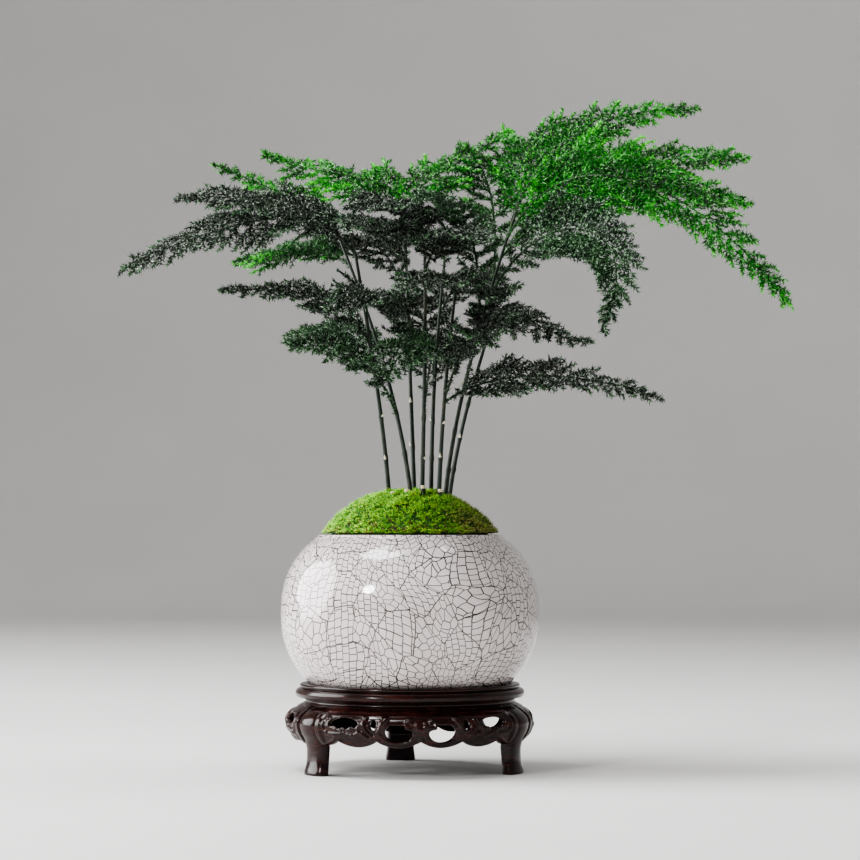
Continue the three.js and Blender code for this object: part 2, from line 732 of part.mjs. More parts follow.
// The curve of one side twig of a frond: out from the midrib, then forwards, and a little down
function pinnaCurve(root, along, side, length, face) {
  const across = along.clone().cross(face).normalize().multiplyScalar(side);
  const reach = ({ out, ahead }) => {
    return root.clone().addScaledVector(across, length * out).addScaledVector(along, length * ahead);
  };
  const tip = reach(PINNA_TIP);
  tip.z -= length * PINNA_TIP.sag;
  return new THREE.QuadraticBezierCurve3(root, reach(PINNA_BEND), tip);
}

const rachisRadius = (t) => THREE.MathUtils.lerp(RACHIS_RADIUS, 0.45, t);
const pinnaRadius = (t) => THREE.MathUtils.lerp(PINNA_RADIUS, 0.35, t);

function claimMidrib(spec) {
  claimAlong(midrib(spec), midribStart(spec), rachisRadius, spec.name, spec.name, 12);
}

// A side twig of a frond, as short as it must be to keep clear of the rest, or nothing
function sideTwig(spec, curve, t, side, random) {
  const face = vector(spec.face).normalize();
  const name = `${spec.name} ${t} ${side}`;
  const kin = (other) => other.owner === spec.name;
  let length = spec.reach * outlineShare(t) * (0.85 + 0.3 * random());
  for (; length > SHORTEST_PINNA; length *= 0.75) {
    const twig = pinnaCurve(curve.getPoint(t), curve.getTangent(t), side, length, face);
    const spots = twig.getPoints(TWIG_STRETCHES);
    const clear = spots.slice(1).every((spot, i) => isClear(spots[i], spot, PINNA_RADIUS, kin));
    if (!clear) continue;
    claimAlong(twig, 0, pinnaRadius, spec.name, name, TWIG_STRETCHES);
    const parts = Math.max(1, Math.round(length / TUFT_PITCH));
    const free = Math.min(0.3, FREE_AFTER / length);
    const places = Array.from({ length: parts + 1 }, (_, k) => free + ((1 - free) * k) / (parts + 0.8));
    return twigAlong(twig, needledRings(twig, places, 0, pinnaRadius, spec.name, name, random), face);
  }
  return null;
}

// A frond is one skin: its side twigs are drawn out of short facets on both sides of the midrib
function frond(spec, index) {
  const random = randomFrom(SEED + index);
  const curve = midrib(spec);
  const long = curve.getLength();
  const pairs = Math.round(long / PINNA_PITCH);
  const rings = [{ t: midribStart(spec), turn: Math.PI / 4 }];
  for (let i = 0; i < pairs; i++) {
    const t = TWIGS_FROM + ((TWIGS_TO - TWIGS_FROM) * (i + 0.5)) / pairs;
    const grow = (k) => (k % 2 ? sideTwig(spec, curve, t, 2 - k, random) : null);
    rings.push({ t: t - FOOTHOLD / 2 / long, turn: Math.PI / 4, grow });
    rings.push({ t: t + FOOTHOLD / 2 / long, turn: Math.PI / 4 });
  }
  for (const ring of rings) ring.radius = rachisRadius(ring.t);
  const end = [TWIGS_TO, LAST_RING];
  rings.push(...needledRings(curve, end, 0, rachisRadius, spec.name, spec.name, () => 0.25));
  const skin = newSkin();
  addTube(skin, curve, rings, RACHIS_SIDES, vector(spec.face).normalize(), true);
  return toMesh(skin);
}

// Assembly
place("stand_top", standTop(), LACQUER);
place("stand_waist", standWaist(), LACQUER);
STAND.legAzimuths.forEach((azimuth, i) => {
  place(`stand_leg_${i + 1}`, standLeg(azimuth), LACQUER);
  place(`stand_apron_${i + 1}`, standApron(azimuth + 60), LACQUER);
});
place("pot", pot(), GLAZE);
place("soil", soil(), EARTH);
place("moss", moss(), MOSS_GREEN);
STEMS.forEach((points, i) => {
  place(`stem_${i + 1}`, stem(points, i), BARK);
  claimAlong(stemCurve(points), 0, stemRadius, `stem_${i + 1}`, `stem_${i + 1}`, 16);
});
STUBS.forEach((spec, i) => place(`cut_stub_${i + 1}`, stub(spec), CUT_WOOD));
FRONDS.forEach(claimMidrib);
FRONDS.forEach((spec, i) => place(`frond_${spec.name}`, frond(spec, i), LEAF));

const box = new THREE.Box3().setFromObject(plant);
const centre = box.getCenter(new THREE.Vector3());
plant.position.set(-centre.x, -centre.y, 0);

export default plant;
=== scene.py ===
"""Potted asparagus fern on a carved stand: the detailed look over the CAD frame.

All lengths are millimetres measured from the axis of pot and stand, with z up and the viewer of the
photograph at -y, until a mesh is made: then they become metres in the row frame.
"""

import math

import bpy
import numpy as np
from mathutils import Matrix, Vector
from mathutils.geometry import delaunay_2d_cdt


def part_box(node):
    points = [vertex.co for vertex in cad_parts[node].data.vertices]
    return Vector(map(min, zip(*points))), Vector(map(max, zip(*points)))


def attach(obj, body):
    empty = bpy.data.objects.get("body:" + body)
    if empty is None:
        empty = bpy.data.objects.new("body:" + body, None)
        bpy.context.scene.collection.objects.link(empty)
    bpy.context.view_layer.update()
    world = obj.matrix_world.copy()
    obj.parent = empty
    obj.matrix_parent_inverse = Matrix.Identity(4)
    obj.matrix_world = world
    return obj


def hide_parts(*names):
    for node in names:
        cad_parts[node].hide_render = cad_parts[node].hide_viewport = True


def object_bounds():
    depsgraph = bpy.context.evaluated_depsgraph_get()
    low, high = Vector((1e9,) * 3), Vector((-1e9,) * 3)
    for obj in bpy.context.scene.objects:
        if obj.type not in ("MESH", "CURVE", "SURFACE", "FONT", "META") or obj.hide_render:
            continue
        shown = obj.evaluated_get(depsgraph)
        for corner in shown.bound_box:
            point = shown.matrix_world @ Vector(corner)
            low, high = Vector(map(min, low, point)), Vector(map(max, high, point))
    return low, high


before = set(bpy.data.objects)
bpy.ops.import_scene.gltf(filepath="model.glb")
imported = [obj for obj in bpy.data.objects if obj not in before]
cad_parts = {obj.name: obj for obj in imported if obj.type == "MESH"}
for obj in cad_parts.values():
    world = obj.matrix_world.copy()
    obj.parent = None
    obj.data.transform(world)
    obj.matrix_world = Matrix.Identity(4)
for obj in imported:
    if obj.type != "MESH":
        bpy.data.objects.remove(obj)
cad_box = [list(corner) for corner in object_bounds()]
pot_low, pot_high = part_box("pot")
AXIS = np.array([(pot_low.x + pot_high.x) / 2, (pot_low.y + pot_high.y) / 2, 0])  # metres
BOX_LOW, BOX_HIGH = [(np.array(corner) - AXIS) * 1000 for corner in cad_box]
BOX_MARGIN = 0.3

SEED = 7
GAP = 0.3  # between pieces that rest on each other
THIRDS = (0, 2.094, 4.189)  # thirds of a turn, in radians

# Stand
TOP = 60.5
SEAT = 57
SEAT_RADIUS = 72
BOARD_UNDER = 51
WAIST_RADIUS = 74.5
APRON_TOP = 46.5
APRON_LOW = 26
APRON_THICK = 5.5
SCALLOP = 5
SCALLOP_PITCH = 32
BELLY_RADIUS = 87.5
BELLY_HEIGHT = 35
LEG_AZIMUTHS = (-25, 95, 215)
LEG_TURN = 120  # degrees from leg to leg
LEG_SIDES = 32
LEG_WIDE = 23
ANKLE_WIDE = 22
FOOT_WIDE = 24
LET_IN = 0.4  # how far the ends of a panel are let into the legs
GROUND_DEPTH = 1.7  # how far the ground of a panel is sunk
RELIEF_STEP = 0.8  # spacing of the points that carry the carving
TURNED_SIDES = 144

# Pot, soil and moss
POT_RADIUS = 90.3
POT_MIDDLE = 110
POT_UPPER = 69
POT_LOWER = 70.5
SQUARENESS = 2.3
RIM = 164
FOOT_RADIUS = 62
POT_WALL = 5
POT_FLOOR = 8
POT_SIDES = 160
LIP_HEIGHT = 1.6
MOSS_TOP = 195
MOSS_EDGE = 59.5
MOSS_NECK = 54.6
MOSS_UNDER = 164.6
MOSS_FOOT = 158.3
MOSS_SIDES = 96
BED_SINK = 1.2  # how far the ground of the mound lies under its measured outline
MOSS_LEAVES = 26000
TUFT = 6  # leaves of moss that share a root
EDGE_TUFTS = 6  # one tuft in so many stands at the edge of the mound

# Stems, as control points of a curve from the soil to the crown
STEMS = [
    [(-13, -4, 146), (-13, -4, 215), (-26, -12, 290), (-41, -25, 376)],
    [(4, -13, 146), (2, -13, 215), (-14, -2, 285), (-53, 35, 381)],
    [(4, 6, 146), (3, 6, 215), (-1, 10, 290), (-4, 22, 395)],
    [(8, -5, 146), (8, -5, 215), (12, -8, 290), (10, -15, 371)],
    [(15, 4, 146), (14, 4, 215), (16, 8, 280), (24, 20, 352)],
    [(19, -10, 146), (20, -10, 215), (24, -12, 270), (31, -25, 328)],
    [(23, -1, 146), (22, -1, 205), (34, 0, 270), (74, 5, 389)],
    [(24, 9, 146), (26, 9, 210), (42, 12, 262), (60, 22, 320)],
]
STEM_RADIUS = 1.9
STEM_TIP_RADIUS = 1.0
STEM_SIDES = 12
STEM_FACETS = 5  # a stem's sides in the CAD model, each the place of a scale
RING_SWELL, RING_SPAN = 0.35, 0.008  # the ring at each scale; its span is a share of the stem
SCALE_PLACES = (0.33, 0.46, 0.6)
SCALE_LENGTH = 3.6
STUBS = [(-12, -17, 194, 1.7), (-2, -22, 195.5, 1.8), (9, -21, 198, 1.6), (21, -18, 195.5, 1.7)]
STEM_FOOT = 146
PALE_TOP = 2.2  # the bare wood at the end of a stub

# Fronds: name, stem, how far up it, the further control points of the midrib, length of the longest
# side twigs, the way the upper face looks
FRONDS = [
    ("left_front", 0, 1, [(-63, -42, 404), (-141, -60, 376), (-200, -50, 343)], 67, (0, -0.55, 0.84)),
    ("left_upper", 0, 0.93, [(-62, -28, 391), (-110, -38, 401), (-161, -44, 394)], 54, (0, -0.5, 0.87)),
    ("left_mid", 0, 0.66, [(-42, -22, 337), (-89, -40, 333), (-131, -48, 331)], 41, (0, -0.5, 0.87)),
    ("top_left", 1, 1, [(-68, 50, 404), (-101, 62, 413), (-143, 66, 433)], 41, (0, -0.5, 0.87)),
    ("left_back", 1, 0.9, [(-65, 70, 381), (-102, 100, 371), (-128, 112, 367)], 56, (0, -0.5, 0.87)),
    ("left_low", 1, 0.47, [(-28, -30, 299), (-61, -50, 297), (-83, -60, 293)], 48, (0, -0.6, 0.8)),
    ("left_low_back", 1, 0.56, [(-35, 20, 317), (-65, 60, 318), (-88, 85, 309)], 50, (0, -0.4, 0.92)),
    ("top_mid_left", 2, 1, [(-11, 40, 438), (-65, 60, 418), (-108, 75, 443)], 50, (0, -0.6, 0.8)),
    ("top_mid_right", 2, 0.94, [(-6, 35, 425), (34, 45, 421), (71, 48, 456)], 45, (0, -0.5, 0.87)),
    ("mid_left", 2, 0.62, [(-12, -22, 340), (-33, -60, 334), (-50, -92, 313)], 60, (0, -0.45, 0.9)),
    ("mid_left_back", 2, 0.78, [(-18, 50, 384), (-44, 85, 387), (-68, 112, 375)], 50, (0, -0.2, 0.98)),
    ("inner_left", 2, 0.86, [(-9, -25, 380), (-26, -60, 387), (-44, -95, 368)], 50, (0, -0.4, 0.92)),
    ("front_high", 3, 1, [(10, -35, 391), (-13, -80, 398), (-38, -122, 377)], 60, (0, -0.3, 0.95)),
    ("front_right", 3, 0.9, [(17, -45, 371), (35, -85, 374), (51, -118, 358)], 54, (0.1, -0.4, 0.92)),
    ("low_back", 3, 0.48, [(14, 20, 303), (25, 55, 311), (31, 95, 302)], 50, (0, -0.4, 0.92)),
    ("low_centre", 5, 0.6, [(40, -35, 308), (46, -60, 311), (54, -84, 291)], 54, (0, -0.4, 0.92)),
    ("back_high", 4, 1, [(26, 50, 379), (15, 100, 393), (-7, 132, 386)], 54, (0, 0.1, 1)),
    ("back_right", 4, 0.84, [(32, 50, 350), (53, 92, 363), (68, 118, 349)], 50, (0.1, 0.1, 1)),
    ("centre_back", 4, 0.62, [(14, 30, 330), (-4, 70, 342), (-21, 110, 334)], 56, (0, -0.3, 0.95)),
    ("front_low", 5, 1, [(34, -60, 337), (20, -95, 337), (-8, -122, 324)], 54, (0, -0.4, 0.92)),
    ("front_lowest", 5, 0.74, [(12, -45, 303), (-4, -68, 297), (-16, -82, 269)], 50, (0, -0.7, 0.7)),
    ("right_low", 5, 0.58, [(49, -18, 278), (113, -30, 281), (175, -32, 257)], 45, (0, -0.6, 0.8)),
    ("right_top", 6, 1, [(88, 15, 481), (138, 28, 470), (208, 34, 468)], 50, (0, -0.7, 0.7)),
    ("right_plume", 6, 0.95, [(107, -22, 448), (194, -40, 414), (264, -44, 318)], 67, (0, -0.8, 0.6)),
    ("right_fan", 6, 0.97, [(81, 15, 425), (105, 60, 456), (143, 95, 462)], 80, (0, -0.6, 0.8)),
    ("right_upper", 6, 0.91, [(107, 38, 410), (183, 55, 447), (246, 60, 436)], 60, (0, -0.7, 0.7)),
    ("right_side", 6, 0.93, [(119, -8, 418), (182, -14, 420), (238, -16, 393)], 45, (0, -0.7, 0.7)),
    ("right_inner", 6, 0.86, [(64, 30, 409), (54, 45, 431), (35, 58, 446)], 37, (0, -0.6, 0.8)),
    ("right_hanging", 6, 0.81, [(89, -50, 403), (168, -80, 379), (129, -74, 301)], 54, (0, -0.9, 0.45)),
    ("centre_top", 6, 0.74, [(52, -28, 381), (28, -62, 402), (5, -92, 389)], 52, (0, -0.4, 0.92)),
    ("mid_right", 6, 0.58, [(55, -25, 337), (58, -58, 337), (62, -82, 322)], 41, (0, -0.5, 0.87)),
    ("right_mid", 7, 1, [(74, 0, 328), (101, -22, 294), (125, -32, 297)], 37, (0, -0.5, 0.87)),
    ("right_back", 7, 0.88, [(61, 50, 323), (72, 85, 330), (81, 108, 320)], 45, (0, -0.3, 0.95)),
]
# Frond sets for lit and shaded copies of one needle finish: the first takes painted light, the second a
# darker copy of it, painted shade, and the third a lighter copy of the dark one, painted half light; fronds
# in none of them take painted shade.
FRONDS_IN_PAINTED_LIGHT = (
    "left_back", "top_left", "top_mid_left", "top_mid_right", "right_top",
    "right_plume", "right_fan", "right_upper", "right_side", "right_inner",
)
FRONDS_IN_PAINTED_HALF_SHADE = ("left_back", "right_inner")  # bright fronds that stand in the shade of others
# dark fronds that catch some light
FRONDS_IN_PAINTED_HALF_LIGHT = ("right_hanging", "front_lowest", "left_low", "left_low_back", "centre_top")
TIP_RUN = 0.6
RACHIS_RADIUS, RACHIS_TIP_RADIUS = 0.95, 0.3
TWIG_RADIUS, TWIG_TAPER = 0.42, 0.27
SPRIG_WIDTH = 0.5
BARE_SHARE = 0.06  # at the foot of a midrib or side twig
TWIG_SHARE = 0.93  # of a midrib, from its bare foot on, with side twigs
TWIG_KNEE = (0.42, 0.26)  # how far out and how far along a side twig bends, in lengths
TWIG_TIP = (0.72, 0.7)
SPRIG_WAY = (0.62, 0.68)
JITTER = 0.5  # of twigs, sprigs and needles along what bears them, in pitches
PINNA_PITCH = 4.2  # along the midrib, on alternate sides
SPRIG_PITCH = 2.1  # along the inner part of a side twig, on alternate sides
SPRIGS_TO = 0.8  # the share of a side twig that carries sprigs; its end is a plain brush of needles
RIB_NEEDLE_PITCH = 0.5
TWIG_NEEDLE_PITCH = 0.39
SPRIG_NEEDLE_PITCH = 0.54
NEEDLE_LENGTH = (3.4, 5.5)
NEEDLE_LEAN = (0.3, 0.95)  # radians, from square-on towards the tip
NEEDLE_WIDTH = 1.1
PAINTED_LIGHT_TIPS_FROM = 0.74  # the share of a side twig beyond which its needles take a lighter finish, painted light on the outer tips

# Camera, from the size of the pot and the height of the horizon in the photograph
CAMERA = (0, -1940, 174)
PHOTO_WIDTH = 860  # pixels
FOCAL_PIXELS = 2770
SENSOR = 36
PITCH = math.atan(90 / FOCAL_PIXELS)  # the horizon lies 90 pixels under the middle of the photograph
YAW = -math.atan(20 / FOCAL_PIXELS)  # and the pot's axis 20 pixels left of it


# Meshes


def unit(v):
    return v / np.maximum(np.linalg.norm(v, axis=-1, keepdims=True), 1e-9)


def joined(parts):
    """One mesh from parts of (vertices, faces, finish), finish being one number or one for each face."""
    vertices, faces, finishes, offset = [], [], [], 0
    for spots, corners, finish in parts:
        vertices.append(np.asarray(spots, float).reshape(-1, 3))
        faces.append(np.asarray(corners, int).reshape(-1, 3) + offset)
        finishes.append(np.full(len(faces[-1]), finish))
        offset += len(vertices[-1])
    return np.concatenate(vertices), np.concatenate(faces), np.concatenate(finishes)


def placed(name, data):
    """A new object of the scene."""
    thing = bpy.data.objects.new(name, data)
    bpy.context.scene.collection.objects.link(thing)
    return thing


def add_piece(name, parts, finishes, replaced, smooth=True):
    """A mesh piece made of triangles, which stands for the CAD nodes named in replaced."""
    vertices, faces, numbers = joined(parts)
    mesh = bpy.data.meshes.new(name)
    mesh.vertices.add(len(vertices))
    mesh.vertices.foreach_set("co", (vertices / 1000 + AXIS).astype(np.float32).ravel())
    mesh.loops.add(3 * len(faces))
    mesh.loops.foreach_set("vertex_index", faces.astype(np.int32).ravel())
    mesh.polygons.add(len(faces))
    mesh.polygons.foreach_set("loop_start", np.arange(0, 3 * len(faces), 3, dtype=np.int32))
    for finish in finishes:
        mesh.materials.append(finish)
    mesh.polygons.foreach_set("material_index", numbers.astype(np.int32))
    mesh.polygons.foreach_set("use_smooth", np.full(len(faces), smooth))
    mesh.update(calc_edges=True)
    piece = placed(name, mesh)
    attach(piece, "root")
    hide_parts(*replaced)


def bands(index):
    """Triangles between neighbouring rings, from corner numbers laid out as (tubes, rings, corners)."""
    low, high = index[:, :-1], index[:, 1:]
    low_next, high_next = np.roll(low, -1, 2), np.roll(high, -1, 2)
    return np.stack([low, low_next, high_next, low, high_next, high], -1).reshape(-1, 3)


def capped(index):
    """Triangles of closed tubes: the bands between their rings, and a fan over each end."""
    faces = [bands(index)]
    for k in range(1, index.shape[2] - 1):
        faces += [index[:, 0, [0, k + 1, k]], index[:, -1, [0, k, k + 1]]]
    return np.concatenate(faces)


def tubes(points, radii, sides, ups):
    """Closed tubes: points is (tubes, rings, 3), radii (tubes, rings) and ups (tubes, 3)."""
    count, rings, _ = points.shape
    ways = unit(np.gradient(points, axis=1))
    side = unit(np.cross(ups[:, None, :], ways))
    top = np.cross(ways, side)
    angles = 2 * np.pi * np.arange(sides) / sides
    circle = side[:, :, None] * np.cos(angles)[:, None] + top[:, :, None] * np.sin(angles)[:, None]
    spots = points[:, :, None] + radii[:, :, None, None] * circle
    index = np.arange(count * rings * sides).reshape(count, rings, sides)
    return spots.reshape(-1, 3), capped(index)


def slivers(roots, ways, lengths, widths, rng):
    """Closed three-sided needles, four faces each."""
    side = unit(np.cross(ways, unit(rng.normal(size=roots.shape))))
    top = np.cross(ways, side)
    half = widths[:, None] / 2
    corners = [roots + half * (side * math.cos(a) + top * math.sin(a)) for a in THIRDS]
    spots = np.stack([*corners, roots + ways * lengths[:, None]], 1)
    pattern = np.array([[0, 2, 1], [0, 1, 3], [1, 2, 3], [2, 0, 3]])
    faces = pattern[None] + 4 * np.arange(len(roots))[:, None, None]
    return spots.reshape(-1, 3), faces.reshape(-1, 3)


def lathe(profile, sides):
    """Closed body of revolution from [radius, height] pairs whose first and last lie on the axis."""
    profile = np.array(profile, float)
    angles = 2 * np.pi * np.arange(sides) / sides
    rings = profile[1:-1]
    radii, heights = rings[:, None, 0], np.repeat(rings[:, None, 1], sides, 1)
    spots = np.stack([radii * np.cos(angles), radii * np.sin(angles), heights], -1).reshape(-1, 3)
    vertices = np.concatenate([spots, [[0, 0, profile[0, 1]], [0, 0, profile[-1, 1]]]])
    index = np.arange(len(spots)).reshape(1, -1, sides)
    first, last = index[0, 0], index[0, -1]
    under = np.stack([np.roll(first, -1), first, np.full(sides, len(spots))], -1)
    over = np.stack([last, np.roll(last, -1), np.full(sides, len(spots) + 1)], -1)
    return vertices, np.concatenate([bands(index), under, over])


def smooth_line(points, steps):
    """Points along a soft curve through the given ones."""
    points = np.array(points, float)
    padded = np.concatenate([[2 * points[0] - points[1]], points, [2 * points[-1] - points[-2]]])
    spots = []
    for a, b, c, d in zip(padded, padded[1:], padded[2:], padded[3:]):
        square, cube = 2 * a - 5 * b + 4 * c - d, 3 * b - a - 3 * c + d
        for t in np.arange(steps) / steps:
            spots.append(0.5 * (2 * b + (c - a) * t + square * t**2 + cube * t**3))
    return np.array([*spots, points[-1]])


def cubic(points, t):
    """Points and directions on a cubic curve."""
    a, b, c, d = [np.asarray(p, float) for p in points]
    t = np.asarray(t, float)[..., None]
    spots = a * (1 - t) ** 3 + 3 * b * t * (1 - t) ** 2 + 3 * c * t**2 * (1 - t) + d * t**3
    return spots, unit((b - a) * (1 - t) ** 2 + 2 * (c - b) * t * (1 - t) + (d - c) * t**2)


def bent(a, b, c, t):
    """Points and directions on quadratic curves."""
    t = t[..., None]
    spots = a * (1 - t) ** 2 + 2 * b * t * (1 - t) + c * t**2
    return spots, unit((b - a) * (1 - t) + (c - b) * t)


# Finishes


class Finish:
    """A node-based material, with its textures laid out in the object's own space."""

    def __init__(self, name, roughness, **sockets):
        self.material = bpy.data.materials.new(name)
        self.material.use_nodes = True
        self.nodes = self.material.node_tree.nodes
        self.links = self.material.node_tree.links
        self.shader = self.nodes["Principled BSDF"]
        self.shader.inputs["Roughness"].default_value = roughness
        for socket, value in sockets.items():
            self.shader.inputs[socket.replace("_", " ")].default_value = value
        self.space = self.nodes.new("ShaderNodeTexCoord").outputs["Object"]

    def filled(self, node, inputs):
        """The node, with its inputs linked to sockets or set to plain values."""
        for name, value in inputs.items():
            if isinstance(value, bpy.types.NodeSocket):
                self.links.new(value, node.inputs[name])
            else:
                node.inputs[name].default_value = value
        return node

    def stretched(self, scale):
        node = self.nodes.new("ShaderNodeMapping")
        return self.filled(node, {"Scale": scale, "Vector": self.space}).outputs["Vector"]

    def noise(self, scale, vector=None, detail=3, output="Fac", distortion=0):
        node = self.nodes.new("ShaderNodeTexNoise")
        inputs = {"Scale": scale, "Detail": detail, "Distortion": distortion, "Vector": vector or self.space}
        return self.filled(node, inputs).outputs[output]

    def cells(self, scale, vector, feature="F1", output="Color"):
        """Irregular flat cells: a number of its own for each of them, or the distance to their borders."""
        node = self.nodes.new("ShaderNodeTexVoronoi")
        node.voronoi_dimensions = "2D"
        node.feature = feature
        return self.filled(node, {"Scale": scale, "Vector": vector}).outputs[output]

    def borders(self, scale, vector, inner, outer):
        """1 within the inner distance of the borders of the cells, 0 beyond the outer one."""
        distance = self.cells(scale, vector, "DISTANCE_TO_EDGE", "Distance")
        return self.ramp(distance, [(inner, (1, 1, 1)), (outer, (0, 0, 0))])

    def moved(self, operation, a, b):
        """A vector worked out from a socket and a second socket or plain value."""
        node = self.nodes.new("ShaderNodeVectorMath")
        node.operation = operation
        second = "Scale" if operation == "SCALE" else 1
        return self.filled(node, {0: a, second: b}).outputs[0]

    def warped(self, scale, amount, start=None):
        """A space pushed about by noise, by so many metres."""
        centre = self.moved("SUBTRACT", self.noise(scale, output="Color", detail=1), (0.5, 0.5, 0.5))
        return self.moved("ADD", start or self.space, self.moved("SCALE", centre, amount))

    def reckoned(self, operation, a, b):
        """A number worked out from a socket and a second socket or a plain value."""
        node = self.nodes.new("ShaderNodeMath")
        node.operation = operation
        return self.filled(node, {0: a, 1: b}).outputs[0]

    def unrolled(self, space, latitude_length, turn_length):
        """Places on the pot laid out flat: its latitude and its longitude, and the bare longitude."""
        centred = self.moved("SUBTRACT", space, AXIS + [0, 0, POT_MIDDLE / 1000])
        apart = self.filled(self.nodes.new("ShaderNodeSeparateXYZ"), {0: centred})
        x, y, z = [apart.outputs[axis] for axis in "XYZ"]
        squares = self.reckoned("ADD", self.reckoned("MULTIPLY", x, x), self.reckoned("MULTIPLY", y, y))
        latitude = self.reckoned("ARCTAN2", z, self.reckoned("SQRT", squares, 0))
        longitude = self.reckoned("ARCTAN2", x, self.reckoned("MULTIPLY", y, -1))
        up = self.reckoned("MULTIPLY", latitude, latitude_length)
        round_pot = self.reckoned("MULTIPLY", longitude, turn_length / (2 * math.pi))
        together = self.filled(self.nodes.new("ShaderNodeCombineXYZ"), {"X": up, "Y": round_pot})
        return together.outputs[0], longitude

    def bricks(self, vector, width, height, joint):
        """1 in the joints of a brick pattern, 0 on the bricks."""
        node = self.nodes.new("ShaderNodeTexBrick")
        node.offset = 0.37
        node.offset_frequency = 2
        node.squash = 0.8
        node.squash_frequency = 3
        sizes = {"Brick Width": width, "Row Height": height, "Mortar Size": joint, "Mortar Smooth": 0.2}
        return self.filled(node, {"Scale": 1, "Vector": vector} | sizes).outputs["Fac"]

    def ramp(self, factor, stops):
        node = self.nodes.new("ShaderNodeValToRGB")
        elements = node.color_ramp.elements
        while len(elements) < len(stops):
            elements.new(0.5)
        for element, (place, colour) in zip(elements, stops):
            element.position = place
            element.color = (*colour, 1)
        return self.filled(node, {"Fac": factor}).outputs["Color"]

    def mixed(self, factor, a, b, blend="MIX"):
        """From colour a to colour b, or to their product."""
        node = self.nodes.new("ShaderNodeMix")
        node.data_type = "RGBA"
        node.blend_type = blend
        return self.filled(node, {"Factor": factor, "A": a, "B": b}).outputs["Result"]

    def colour(self, output):
        self.links.new(output, self.shader.inputs["Base Color"])

    def bump(self, height, strength, distance):
        node = self.nodes.new("ShaderNodeBump")
        self.filled(node, {"Strength": strength, "Distance": distance, "Height": height})
        self.links.new(node.outputs["Normal"], self.shader.inputs["Normal"])


def mottled(name, roughness, scale, stops, bump_scale, strength, distance, **sockets):
    """A finish whose colour and surface vary with noise."""
    finish = Finish(name, roughness, **sockets)
    finish.colour(finish.ramp(finish.noise(scale), stops))
    finish.bump(finish.noise(bump_scale), strength, distance)
    return finish.material


def rosewood():
    finish = Finish("lacquered_rosewood", 0.2, Specular_IOR_Level=0.24, Coat_Weight=0.1, Coat_Roughness=0.06)
    grain = finish.noise(55, finish.stretched((1, 1, 7)), detail=6, distortion=1.2)
    dark, middle, light = (0.004, 0.0015, 0.001), (0.016, 0.004, 0.003), (0.05, 0.011, 0.008)
    finish.colour(finish.ramp(grain, [(0.3, dark), (0.55, middle), (0.75, light)]))
    finish.bump(grain, 0.12, 0.0004)
    return finish.material


CRACK_ROWS = 106  # rows of cells round the pot; the pattern counts in rows
CRACK_WIDTH = 0.056  # half the width of a crack, in rows
CELL_LENGTH = 0.95
POLYGONS = 0.98  # how many polygons to a row
LATITUDE_ROWS = 15  # rows that a radian of latitude is worth
LONG_CRACKS = 0.25  # how many long cracks to a row
SEAM = math.pi - 0.003  # the longitude where the pattern closes, behind the pot: one long crack


def crackle_glaze():
    """Pale glaze under a net of thin dark cracks: ladders in some places, polygons in others."""
    finish = Finish("crackle_glaze", 0.12, Coat_Weight=0.5, Coat_Roughness=0.04)
    space = finish.warped(60, 0.004, start=finish.warped(14, 0.04))
    grey, pale, white = (0.56, 0.49, 0.48), (0.68, 0.61, 0.6), (0.8, 0.74, 0.73)
    body = finish.ramp(finish.noise(14, detail=4), [(0.3, grey), (0.5, pale), (0.7, white)])
    flat, longitude = finish.unrolled(space, LATITUDE_ROWS, CRACK_ROWS)
    patches = finish.cells(LONG_CRACKS, flat)
    ladder = finish.bricks(flat, CELL_LENGTH, 1, CRACK_WIDTH)
    polygons = finish.borders(POLYGONS, flat, 0.035, 0.065)
    long_cracks = finish.borders(LONG_CRACKS, flat, 0.01, 0.018)
    behind = finish.reckoned("GREATER_THAN", finish.reckoned("ABSOLUTE", longitude, 0), SEAM)
    net = finish.reckoned("MULTIPLY", ladder, finish.reckoned("GREATER_THAN", patches, 0.5))
    others = finish.reckoned("MULTIPLY", polygons, finish.reckoned("LESS_THAN", patches, 0.5))
    for line in (others, long_cracks, behind):
        net = finish.reckoned("MAXIMUM", net, line)
    brown, black = (0.06, 0.05, 0.045), (0.014, 0.012, 0.01)
    stain = finish.ramp(finish.noise(11, detail=2), [(0.35, brown), (0.6, black)])
    lines = finish.mixed(net, (1, 1, 1, 1), stain)
    finish.colour(finish.mixed(1, body, lines, "MULTIPLY"))
    finish.bump(lines, 0.25, 0.0003)
    return finish.material


# Scales of noise, the larger the finer
DRIFT_SCALE = 45  # light and dark drifts over a frond or the mound
NEEDLE_SCALE = 520
# pale patches of painted glints, standing for highlights on single needles
PAINTED_GLINT_SCALE = 640
MOSS_SCALE = 620


def foliage(name, dark, middle, light, painted_glint):
    """Needles: broad light and dark drifts, a strong change from needle to needle, and pale painted glints
    that stand for highlights.
    """
    finish = Finish(name, 0.32, Specular_IOR_Level=0.4)
    drifts = finish.ramp(finish.noise(DRIFT_SCALE), [(0.32, dark), (0.5, middle), (0.68, light)])
    weak, strong = (0.25, 0.25, 0.25), (1.8, 1.8, 1.8)
    fine = finish.ramp(finish.noise(NEEDLE_SCALE, detail=1), [(0.35, weak), (0.65, strong)])
    # pale patches where the glint noise is high: painted glints in place of highlights on single needles
    plain = finish.ramp(finish.noise(PAINTED_GLINT_SCALE, detail=1), [(0.57, (1, 1, 1)), (0.63, (0, 0, 0))])
    finish.colour(finish.mixed(plain, (*painted_glint, 1), finish.mixed(1, drifts, fine, "MULTIPLY")))
    finish.bump(finish.noise(900), 0.2, 0.0002)
    return finish.material


